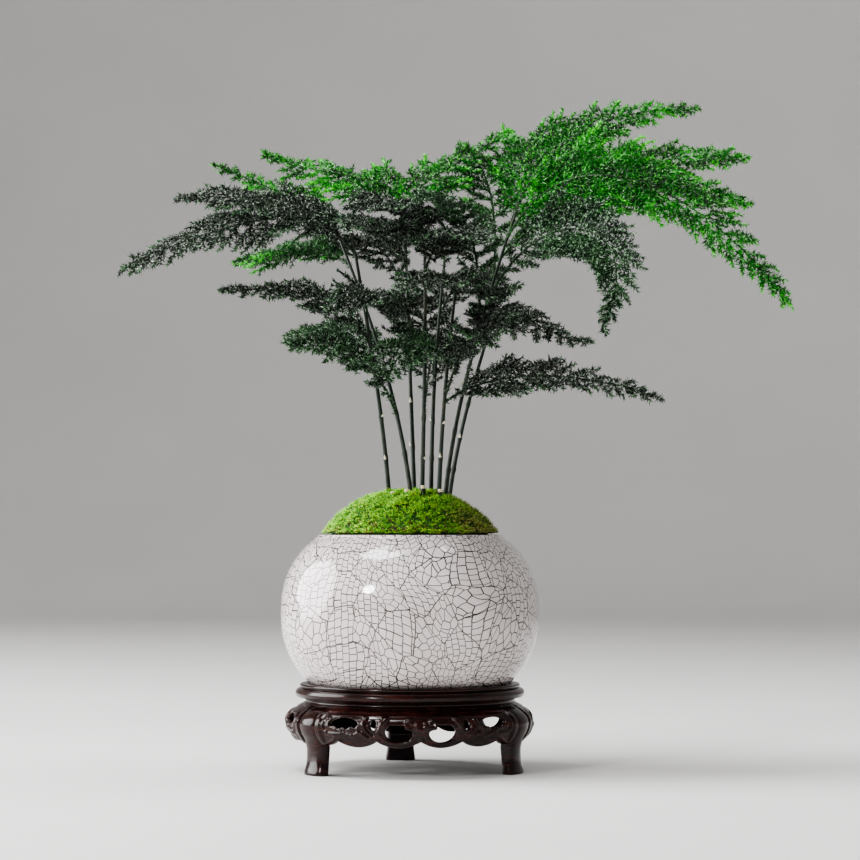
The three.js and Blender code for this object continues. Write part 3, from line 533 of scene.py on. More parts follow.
def moss_finish(name, dark, middle, light):
    """Moss leaves that change in colour from leaf to leaf and, more softly, over the mound."""
    finish = Finish(name, 0.55)
    leaves = finish.ramp(finish.noise(MOSS_SCALE, detail=1), [(0.34, dark), (0.5, middle), (0.64, light)])
    drifts = finish.noise(DRIFT_SCALE, detail=2)
    drifts = finish.ramp(drifts, [(0.35, (0.7, 0.8, 0.65)), (0.65, (1.15, 1.1, 1))])
    finish.colour(finish.mixed(1, leaves, drifts, "MULTIPLY"))
    finish.bump(finish.noise(1500), 0.2, 0.0002)
    return finish.material


WOOD = rosewood()
GLAZE = crackle_glaze()
EARTH = mottled(
    "potting_soil", 0.95, 220, [(0.35, (0.03, 0.018, 0.01)), (0.65, (0.1, 0.06, 0.035))], 700, 0.8, 0.002
)
# The ground of the mound under the leaves: its dark green is partly the moss's own colour and partly painted
# shade in the gaps between the leaves.
MOSS_BED = mottled(
    "moss_bed", 0.95, 160, [(0.35, (0.01, 0.04, 0.004)), (0.65, (0.04, 0.12, 0.01))], 600, 0.8, 0.002
)
MOSS_BRIGHT = moss_finish("moss_bright", (0.025, 0.19, 0.006), (0.16, 0.56, 0.014), (0.62, 0.88, 0.08))
MOSS_OLIVE = moss_finish("moss_olive", (0.03, 0.08, 0.01), (0.2, 0.32, 0.04), (0.68, 0.66, 0.2))
MOSS_BROWN = moss_finish("moss_brown", (0.04, 0.016, 0.008), (0.14, 0.07, 0.03), (0.36, 0.22, 0.09))
BARK_STOPS = [(0.3, (0.003, 0.009, 0.004)), (0.55, (0.008, 0.019, 0.009)), (0.75, (0.035, 0.035, 0.018))]
BARK = mottled("green_stem", 0.45, 160, BARK_STOPS, 500, 0.3, 0.0004, Specular_IOR_Level=0.35)
SCALE = mottled("stem_scale", 0.6, 400, [(0.3, (0.45, 0.4, 0.3)), (0.7, (0.75, 0.7, 0.58))], 900, 0.3, 0.0003)
CUT = mottled("cut_stem", 0.7, 500, [(0.3, (0.5, 0.42, 0.25)), (0.7, (0.8, 0.72, 0.52))], 1200, 0.4, 0.0003)
# Copies of one green for the needles, with light and shade painted in: the first row is painted light, the
# second and fourth painted shade, the third painted half light, for dark fronds that catch some light and for
# their tips, and the last painted light on the tips of lit fronds. The last colour in each row is its painted
# glint.
LEAF_COLOURS = {
    "bright": ((0.001, 0.026, 0.002), (0.003, 0.085, 0.004), (0.014, 0.27, 0.008), (0.13, 0.55, 0.08)),
    "painted_half_shade": ((0.001, 0.014, 0.002), (0.003, 0.045, 0.004), (0.012, 0.13, 0.009), (0.1, 0.34, 0.08)),
    "middle": ((0.002, 0.009, 0.003), (0.006, 0.028, 0.008), (0.025, 0.09, 0.024), (0.28, 0.46, 0.27)),
    "dark": ((0.001, 0.003, 0.001), (0.002, 0.008, 0.003), (0.007, 0.025, 0.009), (0.34, 0.42, 0.32)),
    "painted_light_tips": ((0.006, 0.12, 0.004), (0.02, 0.3, 0.008), (0.06, 0.55, 0.016), (0.2, 0.7, 0.1)),
}
LEAF = {kind: foliage(f"foliage_{kind}", *colours) for kind, colours in LEAF_COLOURS.items()}
TWIG_STOPS = [(0.3, (0.005, 0.018, 0.004)), (0.7, (0.02, 0.05, 0.015))]
TWIG = mottled("twig", 0.5, 200, TWIG_STOPS, 700, 0.3, 0.0003, Specular_IOR_Level=0.25)


# Stand


def belly(z):
    z = np.asarray(z, float)
    return BELLY_RADIUS - np.where(z > BELLY_HEIGHT, 0.09, 0.035) * (z - BELLY_HEIGHT) ** 2


def wrapped(along, z, radius, azimuth):
    """Points of a strip that is bent round the axis: along is the length of arc at the belly."""
    angle = math.radians(azimuth) + along / BELLY_RADIUS
    return np.stack([radius * np.cos(angle), radius * np.sin(angle), z], -1)


def apron_edge(along):
    return APRON_LOW - SCALLOP * np.abs(np.sin(np.pi * along / SCALLOP_PITCH)) ** 0.7


def mirrored(line):
    """A line and its mirror image in the middle of a panel."""
    return [line, line * np.array([-1, 1])]


def oval(x, z, across, up, turn):
    return np.stack([x + across * np.cos(turn), z + up * np.sin(turn)], -1)


def stroke(*points):
    return smooth_line(points, 6)


def carved_lines():
    """The raised lines of a panel, as (along, height), each with its half width at both ends."""
    end = oval(68, 36, 6.2, 6.2, np.linspace(-0.5 * np.pi, 0.5 * np.pi, 14))
    rail = np.concatenate([[[58, 29.8]], end, [[50, 42.3], [0, 42.6]]])
    scroll_turn = np.linspace(0, 1.45 * np.pi, 22)
    curl_radius = 0.9 + 0.62 * scroll_turn
    curl = oval(7.4, 37.6, -curl_radius, curl_radius, scroll_turn)
    sweep = stroke((2.9, 37), (2.4, 32), (5, 27), (11.5, 24.4), (19, 24), (26, 26.5), (29.5, 31))
    leaf = stroke((25, 41), (27.5, 37.5), (28.5, 34), (32, 30.5))
    petal = stroke((39.5, 41.5), (40.5, 37), (37.5, 31.5), (33, 28.5))
    vine = stroke((30, 29), (36, 27), (43, 31), (49, 29), (55, 30.5), (61, 28), (66, 30))
    shoot = stroke((44, 30.5), (44.5, 35), (42.5, 38))
    spur = stroke((56, 30), (60, 33.5), (64, 33))
    bud = stroke((0, 36), (0, 30), (0, 25))
    pairs = [
        (rail, 1.2, 1.2), (curl, 0.9, 1.4), (sweep, 1.5, 1.3), (leaf, 2.4, 0.8),
        (petal, 1.9, 0.8), (vine, 1.4, 1.1), (shoot, 1.3, 0.6), (spur, 1.2, 0.6),
    ]
    sides = [(side, first, last) for line, first, last in pairs for side in mirrored(line)]
    return [*sides, (bud, 1.0, 2.2)]


def apron_holes():
    """Openings of a panel: the windows inside the scrolls, small ones beside them and slots outside."""
    turn = np.linspace(0, 2 * np.pi, 48, endpoint=False)
    bite = 1 - 0.42 * np.exp(-(((turn - 0.78 * np.pi) / 0.36) ** 2))  # room for the end of a scroll
    window = oval(15.5, 31.6, 9.8 * bite, 6.6 * bite, turn)
    window[:, 1] = np.minimum(window[:, 1], 36.6)
    small = oval(33.8, 36.6, 2.6, 3.6, turn)
    slot = oval(57, 37.3, 12.2, 3.5, turn)
    slot[:, 1] += np.where(slot[:, 1] < 37, 0.9 * np.sin(0.9 * slot[:, 0]), 0)
    return [side for hole in (window, small, slot) for side in mirrored(hole)]


def nearest(points, line):
    """Distance from points to a line of spots, and the place along the line."""
    a, b = line[:-1], line[1:]
    step = b - a
    share = ((points[:, None] - a) * step).sum(-1) / np.maximum((step**2).sum(-1), 1e-9)
    share = np.clip(share, 0, 1)
    gaps = np.linalg.norm(points[:, None] - (a + share[..., None] * step), axis=-1)
    best = gaps.argmin(1)
    rows = np.arange(len(points))
    return gaps[rows, best], (best + share[rows, best]) / len(a)


def relief(points):
    """How far the carving stands out of the sunk ground of a panel."""
    height = np.zeros(len(points))
    for line, start, end in carved_lines():
        gap, place = nearest(points, line)
        half = start + (end - start) * place
        height = np.maximum(height, np.sqrt(np.maximum(half**2 - gap**2, 0)) * 1.1)
    along, z = points.T
    border = np.abs(z - apron_edge(along) - 1.4)
    height = np.maximum(height, np.sqrt(np.maximum(1.2**2 - border**2, 0)))
    cornice = np.clip((z - 43.6) / 1.2, 0, 1)
    cheek = np.clip((np.abs(along) - 75) / 1.5, 0, 1)
    return np.maximum(height, 1.5 * np.maximum(cornice, cheek))


def apron_plan():
    """The flat plan of a panel, as points and triangles."""
    half = (math.radians(LEG_TURN) * BELLY_RADIUS - LEG_WIDE) / 2 + LET_IN
    across = np.linspace(-half, half, 160)
    rise = np.linspace(apron_edge(half), APRON_TOP, 20)[1:-1]
    x = [across, np.full_like(rise, half), across[::-1], np.full_like(rise, -half)]
    z = [apron_edge(across), rise, np.full_like(across, APRON_TOP), rise[::-1]]
    outline = np.stack([np.concatenate(x), np.concatenate(z)], -1)
    holes = apron_holes()
    columns = np.arange(-half + 0.5, half - 0.5, RELIEF_STEP)
    rows = np.arange(APRON_LOW - SCALLOP, APRON_TOP, RELIEF_STEP)
    grid = np.stack(np.meshgrid(columns, rows), -1).reshape(-1, 2)
    keep = (grid[:, 1] > apron_edge(grid[:, 0]) + 0.5) & (grid[:, 1] < APRON_TOP - 0.4)
    for hole in holes:
        closed = np.concatenate([hole, hole[:1]])
        keep &= nearest(grid, closed)[0] > 0.45
        middle = hole.mean(0)
        reach = np.abs(hole - middle).max(0)
        keep &= (((grid - middle) / reach) ** 2).sum(-1) > 0.92
    loops = [outline, *holes]
    points = [Vector(p) for p in np.concatenate([*loops, grid[keep]])]
    edges, start = [], 0
    for loop in loops:
        size = len(loop)
        edges += [(start + i, start + (i + 1) % size) for i in range(size)]
        start += size
    spots, _, faces, *_ = delaunay_2d_cdt(points, edges, [], 1, 1e-4)
    flat = np.array([tuple(p) for p in spots])
    corners = np.array([tuple(f) for f in faces])
    centres = flat[corners].mean(1)
    solid = inside_polygon(centres, outline)
    for hole in holes:
        solid &= ~inside_polygon(centres, hole)
    corners = corners[solid]
    a, b, c = flat[corners].transpose(1, 2, 0)
    turn = (b - a)[0] * (c - a)[1] - (b - a)[1] * (c - a)[0]
    corners[turn < 0] = corners[turn < 0][:, ::-1]
    return flat, corners


def inside_polygon(points, polygon):
    x, y = points[:, None, 0], points[:, None, 1]
    (ax, ay), (bx, by) = polygon.T, np.roll(polygon, -1, 0).T
    crosses = (ay > y) != (by > y)
    with np.errstate(divide="ignore", invalid="ignore"):
        at = ax + (y - ay) / (by - ay) * (bx - ax)
    return (crosses & (x < at)).sum(1) % 2 == 1


def apron(plan, azimuth):
    flat, corners = plan
    along, z = flat.T
    front = wrapped(along, z, belly(z) - GROUND_DEPTH + relief(flat), azimuth)
    back = wrapped(along, z, belly(z) - APRON_THICK, azimuth)
    count = len(flat)
    edges = np.concatenate([corners[:, [0, 1]], corners[:, [1, 2]], corners[:, [2, 0]]])
    known = {(a, b) for a, b in edges.tolist()}
    rim = np.array([(a, b) for a, b in edges.tolist() if (b, a) not in known])
    a, b = rim[:, 0], rim[:, 1]
    walls = [np.stack([a, a + count, b + count], -1), np.stack([a, b + count, b], -1)]
    faces = np.concatenate([corners, corners[:, ::-1] + count, *walls])
    return np.concatenate([front, back]), faces


def leg(azimuth):
    """A leg with a bulging knee, in rounded sections from the foot up to the shoulder."""
    heights = np.concatenate([[0, 0.4], np.arange(1.4, APRON_TOP - 0.5, 1.3), [APRON_TOP - 0.4, APRON_TOP]])
    foot = [(0, 83.4), (1.5, 83.6), (3, 83.3), (5, 82.6), (9, 82), (13, 81.8), (18, 81.9)]
    knee = (24, 27, 29, 32, 35, 38, 41, 44, APRON_TOP)
    inside = [(0, 75), (10, 73.5), (20, 72.5), (28, 77.5), (36, 79), (42, 74.5), (APRON_TOP, 72)]
    outer = np.interp(heights, *np.array(foot + [(z, float(belly(z))) for z in knee]).T)
    inner = np.interp(heights, *np.array(inside).T)
    low = FOOT_WIDE + (ANKLE_WIDE - FOOT_WIDE) * smooth_share(heights, 0, 10)
    wide = low + (LEG_WIDE - low) * smooth_share(heights, 16, 38)
    ease = 1 - 0.06 * (heights < 0.3) - 0.02 * (heights > APRON_TOP - 0.2)
    turn = 2 * np.pi * np.arange(LEG_SIDES) / LEG_SIDES
    flatten = 0.45
    across = np.sign(np.sin(turn)) * np.abs(np.sin(turn)) ** flatten
    outward = np.sign(np.cos(turn)) * np.abs(np.cos(turn)) ** flatten
    along = (wide * ease / 2)[:, None] * across
    radius = ((outer + inner) / 2)[:, None] + ((outer - inner) / 2 * ease)[:, None] * outward
    crown = np.where(outward > 0, 1.2 * outward * (1 - across**2), 0)
    spots = wrapped(along, np.repeat(heights[:, None], LEG_SIDES, 1), radius - 1 + crown, azimuth)
    index = np.arange(len(heights) * LEG_SIDES).reshape(1, -1, LEG_SIDES)
    return spots.reshape(-1, 3), capped(index)


def smooth_share(value, low, high):
    share = np.clip((value - low) / (high - low), 0, 1)
    return share * share * (3 - 2 * share)


def rounded(points, steps=8):
    """Some points of a profile, joined by a soft line."""
    return [tuple(p) for p in smooth_line(points, steps)]


def stand_board():
    under = BOARD_UNDER
    lower_bead = rounded([(77, under), (79, under + 0.6), (80, under + 3), (79.2, under + 5.2)])
    groove = rounded([(77.4, under + 6.2), (75.8, under + 6.8), (76.6, TOP - 2.1), (76.9, TOP - 1.2)])
    crest = rounded([(76.2, TOP - 0.2), (75, TOP), (SEAT_RADIUS + 0.8, TOP), (SEAT_RADIUS + 0.1, TOP - 0.6)])
    seat = [(SEAT_RADIUS, SEAT + 0.5), (SEAT_RADIUS - 0.5, SEAT), (0, SEAT)]
    return lathe([(0, under), *lower_bead, *groove, *crest, *seat], TURNED_SIDES)


def stand_waist():
    low, high = APRON_TOP + GAP, BOARD_UNDER - GAP
    hollow = 1.3
    wide, neck = WAIST_RADIUS, WAIST_RADIUS - hollow
    curve = rounded([(wide, low), (neck, low + hollow), (neck, high - hollow), (wide, high)])
    return lathe([(0, low), *curve, (0, high)], TURNED_SIDES)


def add_wood(name, shape, replaced):
    add_piece(name, [(*shape, 0)], [WOOD], [replaced])


add_wood("stand_board_turned", stand_board(), "stand_top")
add_wood("stand_waist_turned", stand_waist(), "stand_waist")
PLAN = apron_plan()
for number, azimuth in enumerate(LEG_AZIMUTHS, 1):
    add_wood(f"leg_carved_{number}", leg(azimuth), f"stand_leg_{number}")
    add_wood(f"apron_carved_{number}", apron(PLAN, azimuth + LEG_TURN / 2), f"stand_apron_{number}")


# Pot, soil and moss


def pot_radius(z, inset=0):
    half = np.where(z > POT_MIDDLE, POT_UPPER, POT_LOWER) - inset
    share = np.minimum(1, np.abs(z - POT_MIDDLE) / half)
    return (POT_RADIUS - inset) * (1 - share**SQUARENESS) ** (1 / SQUARENESS)


def pot_body():
    bottom = SEAT + GAP
    lip = RIM - LIP_HEIGHT
    inside = bottom + POT_FLOOR
    outer = [(float(pot_radius(z)), z) for z in np.linspace(bottom + 2.5, lip, 60)]
    inner = [(float(pot_radius(z, POT_WALL)), z) for z in np.linspace(lip, inside, 24)]
    a, b = outer[-1][0], inner[0][0]
    over, under = RIM - 0.25, lip + 0.7
    crest = ((a + b) / 2, RIM)
    edge = rounded([(a - 0.25, under), (a - 1, over), crest, (b + 1, over), (b + 0.25, under)], 4)
    foot = [(FOOT_RADIUS - 1, bottom), (FOOT_RADIUS, bottom + 0.2)]
    return lathe([(0, bottom), *foot, *outer, *edge, *inner, (0, inside)], POT_SIDES)


def moss_height(radius):
    share = np.minimum(1, radius / MOSS_EDGE)
    base = MOSS_UNDER + 1.5
    return base + (MOSS_TOP - base) * (1 - share**2.4) ** 0.9


def moss_swell(x, y, height):
    """Soft lumps of the mound, which fade out towards its edge."""
    broad = 0.9 * np.sin(0.21 * x + 1) * np.sin(0.19 * y)
    middling = 0.7 * np.sin(0.37 * x - 0.29 * y)
    small = 0.5 * np.sin(0.8 * x) * np.sin(0.7 * y)
    return (broad + middling + small) * smooth_share(height, MOSS_UNDER, MOSS_UNDER + 8)


def moss_bed():
    radii = np.concatenate([[MOSS_EDGE - 0.4], np.linspace(MOSS_EDGE - 1.5, 4, 26)])
    dome = [(r, float(moss_height(r)) - BED_SINK) for r in radii]
    foot = [(MOSS_NECK, MOSS_FOOT), (MOSS_NECK, MOSS_UNDER), (MOSS_EDGE - 1.5, MOSS_UNDER)]
    spots, faces = lathe([(0, MOSS_FOOT), *foot, *dome, (0, MOSS_TOP - BED_SINK)], MOSS_SIDES)
    high = spots[:, 2] > MOSS_UNDER + 0.5
    spots[high, 2] += moss_swell(*spots[high].T)
    return spots, faces


def moss_leaves(rng):
    """Short leaves all over the mound, in tufts, sorted by their finish."""
    tufts = MOSS_LEAVES // TUFT
    outermost = tufts // EDGE_TUFTS
    radius = (MOSS_EDGE - 0.6) * rng.random(tufts) ** 0.5
    radius[:outermost] = MOSS_EDGE - 0.3 - 1.6 * rng.random(outermost)
    turn = 2 * np.pi * rng.random(tufts)
    x, y = radius * np.cos(turn), radius * np.sin(turn)
    height = moss_height(radius)
    slope = np.clip(moss_height(radius + 0.5) - moss_height(np.maximum(radius - 0.5, 0)), -2.5, 0)
    normal = unit(np.stack([-slope * np.cos(turn), -slope * np.sin(turn), np.ones(tufts)], -1))
    places = np.stack([x, y, height - 1.4 + moss_swell(x, y, height)], -1)
    roots = np.repeat(places, TUFT, 0) + rng.normal(scale=0.5, size=(TUFT * tufts, 3)) * [1, 1, 0.3]
    roots[:, 2] = np.maximum(roots[:, 2], MOSS_UNDER + 0.2)
    ways = unit(np.repeat(normal, TUFT, 0) + 0.75 * rng.normal(size=roots.shape))
    ways[:, 2] = np.abs(ways[:, 2]) * 0.8 + np.where(np.repeat(radius, TUFT) > MOSS_EDGE - 2, -0.25, 0.1)
    ways = unit(ways)
    lengths = rng.uniform(2, 4, len(roots))
    widths = rng.uniform(0.4, 0.7, len(roots))
    olive = x + 0.3 * y + 9 * np.sin(0.13 * y + 0.5) + rng.normal(scale=7, size=tufts) > 24
    brown = rng.random(tufts) < 0.25 * smooth_share(radius, 48, 59)
    kind = np.repeat(np.where(brown, 3, np.where(olive, 2, 1)), TUFT)
    parts = []
    for number in (1, 2, 3):
        chosen = kind == number
        leaves = slivers(roots[chosen], ways[chosen], lengths[chosen], widths[chosen], rng)
        parts.append((*leaves, number))
    return parts


add_piece("pot_glazed", [(*pot_body(), 0)], [GLAZE], ["pot"])
moss_finishes = [MOSS_BED, MOSS_BRIGHT, MOSS_OLIVE, MOSS_BROWN]
moss_parts = [(*moss_bed(), 0), *moss_leaves(np.random.default_rng(SEED))]
add_piece("moss_mound", moss_parts, moss_finishes, ["moss"])
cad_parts["soil"].data.materials.clear()
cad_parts["soil"].data.materials.append(EARTH)


# Stems

AWAY = np.array([[0, 1, 0]])


def stem_radius(t):
    return STEM_RADIUS + (STEM_TIP_RADIUS - STEM_RADIUS) * t**0.8


def stem_scale(points, index, place):
    """A pale pointed scale that lies against a stem."""
    spot, way = cubic(points, place)
    side = unit(np.cross(AWAY[0], way))
    top = np.cross(way, side)
    facet = (round(index * 2 + place * 9) % STEM_FACETS + 0.5) * 2 * math.pi / STEM_FACETS
    outward = side * math.cos(facet) + top * math.sin(facet)
    across = np.cross(way, outward)
    radius = float(stem_radius(place))
    root = spot + outward * (radius - 0.3)
    corners = [
        root - across * 1.5 - outward * 0.3,
        root + across * 1.5 - outward * 0.3,
        root + outward * 0.9,
        root - way * 1.2,
        root + outward * 1.5 + way * SCALE_LENGTH,
    ]
    faces = [[0, 2, 4], [2, 1, 4], [1, 0, 4], [2, 0, 3], [1, 2, 3], [0, 1, 3]]
    return np.array(corners), faces


def stem_parts(points, index):
    t = np.linspace(0, 1, 64)
    places = [place + 0.02 * (index % 3) for place in SCALE_PLACES]
    radii = stem_radius(t)
    for place in places:
        radii = radii + RING_SWELL * np.exp(-(((t - place) / RING_SPAN) ** 2))
    tube = tubes(cubic(points, t)[0][None], radii[None], STEM_SIDES, AWAY)
    return [(*tube, 0), *[(*stem_scale(points, index, place), 1) for place in places]]


def stub_parts(x, y, top, radius):
    """A sawn-off stem and the bare wood at its end."""
    bare = top - PALE_TOP
    body = np.array([[(x, y, z) for z in (STEM_FOOT, 170, bare - 1, bare)]], float)
    cap = np.array([[(x, y, z) for z in (bare, top - 0.2, top)]], float)
    stem = tubes(body, np.full((1, 4), radius), STEM_SIDES, AWAY)
    end = tubes(cap, radius * np.array([[1.03, 0.95, 0.6]]), STEM_SIDES, AWAY)
    return [(*stem, 0), (*end, 1)]


for index, points in enumerate(STEMS):
    parts = stem_parts(points, index)
    add_piece(f"stem_grown_{index + 1}", parts, [BARK, SCALE], [f"stem_{index + 1}"])
for number, stub in enumerate(STUBS, 1):
    add_piece(f"stub_sawn_{number}", stub_parts(*stub), [BARK, CUT], [f"cut_stub_{number}"])


# Fronds


def midrib(stem, at, to):
    """Control points of a midrib. One at the tip of a stem goes on the way the stem does."""
    root, way = cubic(STEMS[stem], at)
    first, second, end = [np.array(p, float) for p in to]
    if at == 1:
        first = root + way * np.linalg.norm(first - root) * TIP_RUN
    return [root, first, second, end]


def outline_share(t):
    """How long the side twigs are along the midrib, as shares of the frond's reach."""
    start, rise, least = 0.08, 0.2, 0.08
    return np.clip((t - start) / rise, 0, 1) * (1 - t) ** 0.9 + least


def spread(counts, rng):
    """Owner number, order number and place from 0 to 1 of items that are strung along their owners."""
    owner = np.repeat(np.arange(len(counts)), counts)
    order = np.arange(len(owner)) - np.repeat(np.cumsum(counts) - counts, counts)
    place = (order + 0.5 + JITTER * (rng.random(len(owner)) - 0.5)) / counts[owner]
    return owner, order, place


def in_box(spots):
    return np.all((spots > BOX_LOW + BOX_MARGIN) & (spots < BOX_HIGH - BOX_MARGIN), -1)


def boxed(spots, faces):
    """A mesh whose outermost points are pulled in to the box of the CAD model."""
    return np.clip(spots, BOX_LOW + BOX_MARGIN / 2, BOX_HIGH - BOX_MARGIN / 2), faces


def brush(curves, lengths, ups, pitch, rng, painted_light_tips=0):
    """Needles all round some curves, leaning towards their tips, with the number of each face's finish."""
    counts = np.maximum(3, np.round(lengths / pitch)).astype(int)
    owner, _, place = spread(counts, rng)
    spots, along = bent(*(corners[owner] for corners in curves), place)
    angle = rng.uniform(0, 2 * np.pi, len(owner))[:, None]
    lean = rng.uniform(*NEEDLE_LEAN, len(owner))[:, None]
    flat = unit(np.cross(along, ups[owner]))
    outward = flat * np.cos(angle) + 0.75 * np.cross(flat, along) * np.sin(angle)
    ways = unit(outward * np.cos(lean) + along * np.sin(lean))
    long = rng.uniform(*NEEDLE_LENGTH, len(owner)) * (1 - 0.3 * place)
    keep = in_box(spots) & in_box(spots + ways * long[:, None])
    needles = slivers(spots[keep], ways[keep], long[keep], np.full(keep.sum(), NEEDLE_WIDTH), rng)
    # needles past that share of a twig take the tip finish, painted light
    return *needles, np.repeat(np.where(place[keep] > PAINTED_LIGHT_TIPS_FROM, painted_light_tips, 0), 4)


def side_twigs(rib, long, reach, face, rng):
    """The curves of a frond's side twigs, their lengths, and the way each one's upper side looks."""
    count = max(8, round(TWIG_SHARE * long / PINNA_PITCH))
    order = np.arange(count)
    place = BARE_SHARE + TWIG_SHARE * (order + 0.5 + JITTER * (rng.random(count) - 0.5)) / count
    roots, ways = cubic(rib, place)
    side = np.where(order % 2 == 0, 1, -1)[:, None]
    across = unit(np.cross(ways, face)) * side
    lengths = reach * outline_share(place) * rng.uniform(0.72, 1.14, count)
    size = lengths[:, None]
    lift = size * face * rng.normal(scale=0.07, size=count)[:, None]
    knees = roots + size * (TWIG_KNEE[0] * across + TWIG_KNEE[1] * ways) + lift
    sag = [0, 0, 1] * size * 0.08
    tips = roots + size * (TWIG_TIP[0] * across + TWIG_TIP[1] * ways) + 1.4 * lift - sag
    for _ in range(12):
        outside = ~in_box(tips)
        for spots in (knees, tips):
            spots[outside] = roots[outside] + 0.88 * (spots - roots)[outside]
    lengths = lengths * np.linalg.norm(tips - roots, axis=1) / np.maximum(size[:, 0], 1e-9)
    leader, _ = cubic(rib, [0.84, 0.92, 1])
    curves = [np.append(spots, spot[None], 0) for spots, spot in zip((roots, knees, tips), leader)]
    ups = unit(face + 0.16 * rng.normal(size=(count + 1, 3)))
    return curves, np.append(lengths, 0.16 * long), ups


def sprigs(curves, lengths, ups, rng):
    """Short straight shoots in the plane of the frond, which fill the room between its side twigs."""
    counts = np.maximum(1, np.round(SPRIGS_TO * lengths / SPRIG_PITCH)).astype(int)
    owner, order, place = spread(counts, rng)
    place = BARE_SHARE + (SPRIGS_TO - BARE_SHARE) * place
    base, along = bent(*(corners[owner] for corners in curves), place)
    hand = np.where(order % 2 == 0, 1, -1)[:, None]
    up = ups[owner]
    outward = unit(np.cross(along, up)) * hand + 0.38 * rng.normal(size=(len(owner), 1)) * up
    long = np.clip(1 + 0.3 * lengths[owner] * (1 - place) ** 0.8, 1.5, 9)
    long = long * rng.uniform(0.7, 1.2, len(owner))
    ends = base + long[:, None] * (SPRIG_WAY[0] * outward + SPRIG_WAY[1] * along - [0, 0, 0.05])
    keep = in_box(base) & in_box(ends)
    base, ends = base[keep], ends[keep]
    return (base, (base + ends) / 2, ends), long[keep], up[keep]


def frond_parts(stem, at, to, reach, face, rng):
    """Midrib, side twigs, sprigs and needles of one frond."""
    rib = midrib(stem, at, to)
    face = unit(np.array(face, float))
    t = np.linspace(0, 1, 30)
    line, _ = cubic(rib, t)
    steps = (line[:-1], (line[:-1] + line[1:]) / 2, line[1:])
    step_lengths = np.linalg.norm(np.diff(line, axis=0), axis=1)
    radii = RACHIS_RADIUS + (RACHIS_TIP_RADIUS - RACHIS_RADIUS) * t
    rachis = boxed(*tubes(line[None], radii[None], 6, face[None]))

    curves, lengths, ups = side_twigs(rib, step_lengths.sum(), reach, face, rng)
    s = np.linspace(0, 1, 5)
    twigs, _ = bent(*(corners[:, None] for corners in curves), np.repeat(s[None], len(lengths), 0))
    radii = (TWIG_RADIUS - TWIG_TAPER * s)[None] * np.clip(lengths[:, None] / 25, 0.6, 1.1)
    branches = boxed(*tubes(twigs, radii, 3, ups))

    shoots, shoot_lengths, shoot_ups = sprigs(curves, lengths, ups, rng)
    way = unit(shoots[2] - shoots[0])
    stalks = slivers(shoots[0], way, shoot_lengths, np.full(len(way), SPRIG_WIDTH), rng)
    return [
        (*rachis, 1),
        (*branches, 1),
        (*stalks, 0),
        brush(steps, step_lengths, np.repeat(face[None], len(step_lengths), 0), RIB_NEEDLE_PITCH, rng),
        brush(curves, lengths, ups, TWIG_NEEDLE_PITCH, rng, painted_light_tips=2),
        brush(shoots, shoot_lengths, shoot_ups, SPRIG_NEEDLE_PITCH, rng),
    ]


# Each frond's needles take the copy that its set gives, with its painted light and shade, and its tips take a
# lighter copy, painted light.
OTHER_KINDS = {name: "middle" for name in FRONDS_IN_PAINTED_HALF_LIGHT} | {name: "painted_half_shade" for name in FRONDS_IN_PAINTED_HALF_SHADE}
for index, (name, stem, at, to, reach, face) in enumerate(FRONDS):
    parts = frond_parts(stem, at, to, reach, face, np.random.default_rng(SEED * 100 + index))
    bright = name in FRONDS_IN_PAINTED_LIGHT
    leaf = LEAF[OTHER_KINDS.get(name, "bright" if bright else "dark")]
    painted_light_tips = LEAF["painted_light_tips" if bright else "middle"]
    add_piece(f"spray_{name}", parts, [leaf, TWIG, painted_light_tips], [f"frond_{name}"], smooth=False)


# Camera, floor and lights

scene = bpy.context.scene


def to_row(point):
    return Vector(np.array(point, float) / 1000 + AXIS)


camera_data = bpy.data.cameras.new("camera")
camera_data.sensor_width = SENSOR
camera_data.lens = FOCAL_PIXELS / PHOTO_WIDTH * SENSOR
camera_data.clip_end = 50
camera = placed("camera", camera_data)
camera.location = to_row(CAMERA)
camera.rotation_euler = (math.pi / 2 + PITCH, 0, YAW)
scene.camera = camera
scene.view_settings.look = "AgX - Medium High Contrast"

FLOOR_RADIUS = 3000
BACKDROP_BEND = 1600
BACKDROP_TOP = 5000
BACKDROP_SIDES = 96


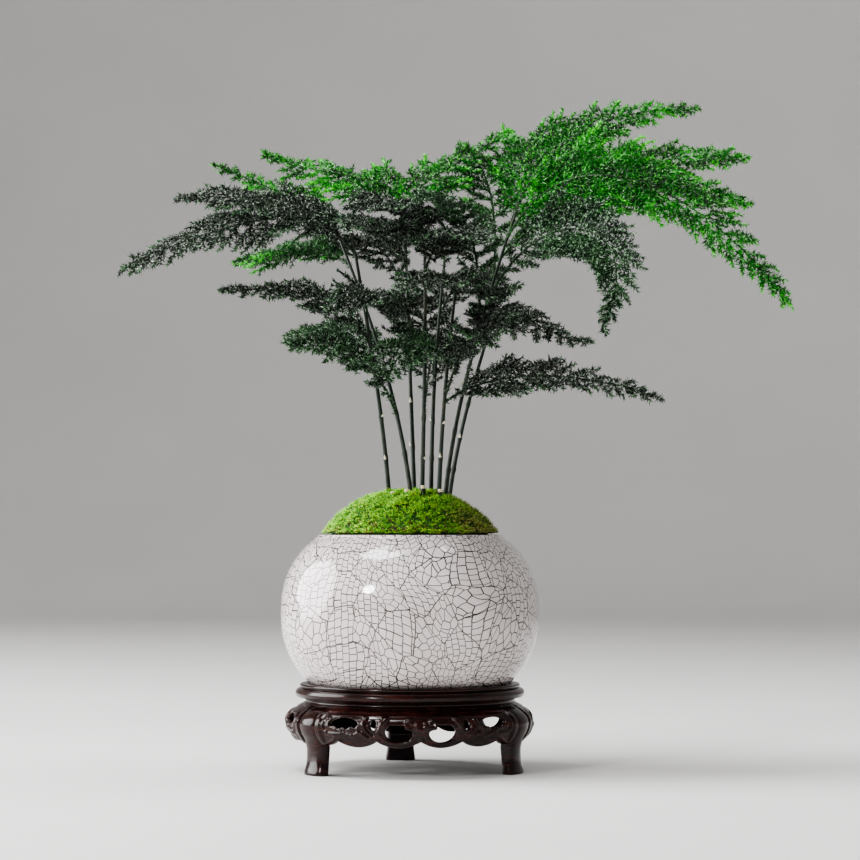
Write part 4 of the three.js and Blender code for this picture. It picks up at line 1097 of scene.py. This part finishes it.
def backdrop():
    """A round floor that bends up into a wall, so that no horizon shows from any side."""
    turn = np.linspace(0, 0.5 * np.pi, 16)
    radii = FLOOR_RADIUS + BACKDROP_BEND * np.sin(turn)
    heights = BACKDROP_BEND * (1 - np.cos(turn))
    profile = [(FLOOR_RADIUS / 3, 0), *zip(radii, heights), (radii[-1], BACKDROP_TOP)]
    sides = BACKDROP_SIDES
    angles = 2 * np.pi * np.arange(sides) / sides
    spots = [(0, 0, 0)] + [(r * math.cos(a), r * math.sin(a), z) for r, z in profile for a in angles]
    pairs = [(k, (k + 1) % sides) for k in range(sides)]
    faces = [(0, 1 + a, 1 + b) for a, b in pairs]
    for ring in range(len(profile) - 1):
        low, high = 1 + ring * sides, 1 + (ring + 1) * sides
        faces += [(low + a, high + a, high + b, low + b) for a, b in pairs]
    mesh = bpy.data.meshes.new("floor")
    mesh.from_pydata([to_row(spot) for spot in spots], [], faces)
    mesh.polygons.foreach_set("use_smooth", [True] * len(faces))
    return mesh


floor_mesh = backdrop()
floor = placed("floor", floor_mesh)
paper = Finish("floor", 0.8)
paper.colour(paper.ramp(paper.noise(3), [(0.3, (0.7, 0.69, 0.68)), (0.7, (0.73, 0.72, 0.71))]))
floor_mesh.materials.append(paper.material)


def area_light(name, place, target, size, power):
    data = bpy.data.lights.new(name, "AREA")
    data.shape = "DISK"
    data.size = size
    data.energy = power
    light = placed(name, data)
    light.location = Vector(place)
    light.rotation_euler = (Vector(target) - Vector(place)).to_track_quat("-Z", "Y").to_euler()


area_light("key", (-1.2, -1.5, 0.9), (0, 0, 0.15), 0.35, 22)
area_light("window", (-2.4, 0.35, 0.9), (0, 0, 0.2), 2.2, 120)
area_light("top", (-0.5, -0.15, 1.8), (0, 0, 0.2), 0.9, 32)
area_light("top_right", (0.55, 0.25, 1.8), (0.1, 0, 0.3), 0.7, 10)

world = bpy.data.worlds.new("world")
scene.world = world
world.use_nodes = True
background = world.node_tree.nodes["Background"]
background.inputs["Color"].default_value = (0.84, 0.85, 0.87, 1)
background.inputs["Strength"].default_value = 0.17
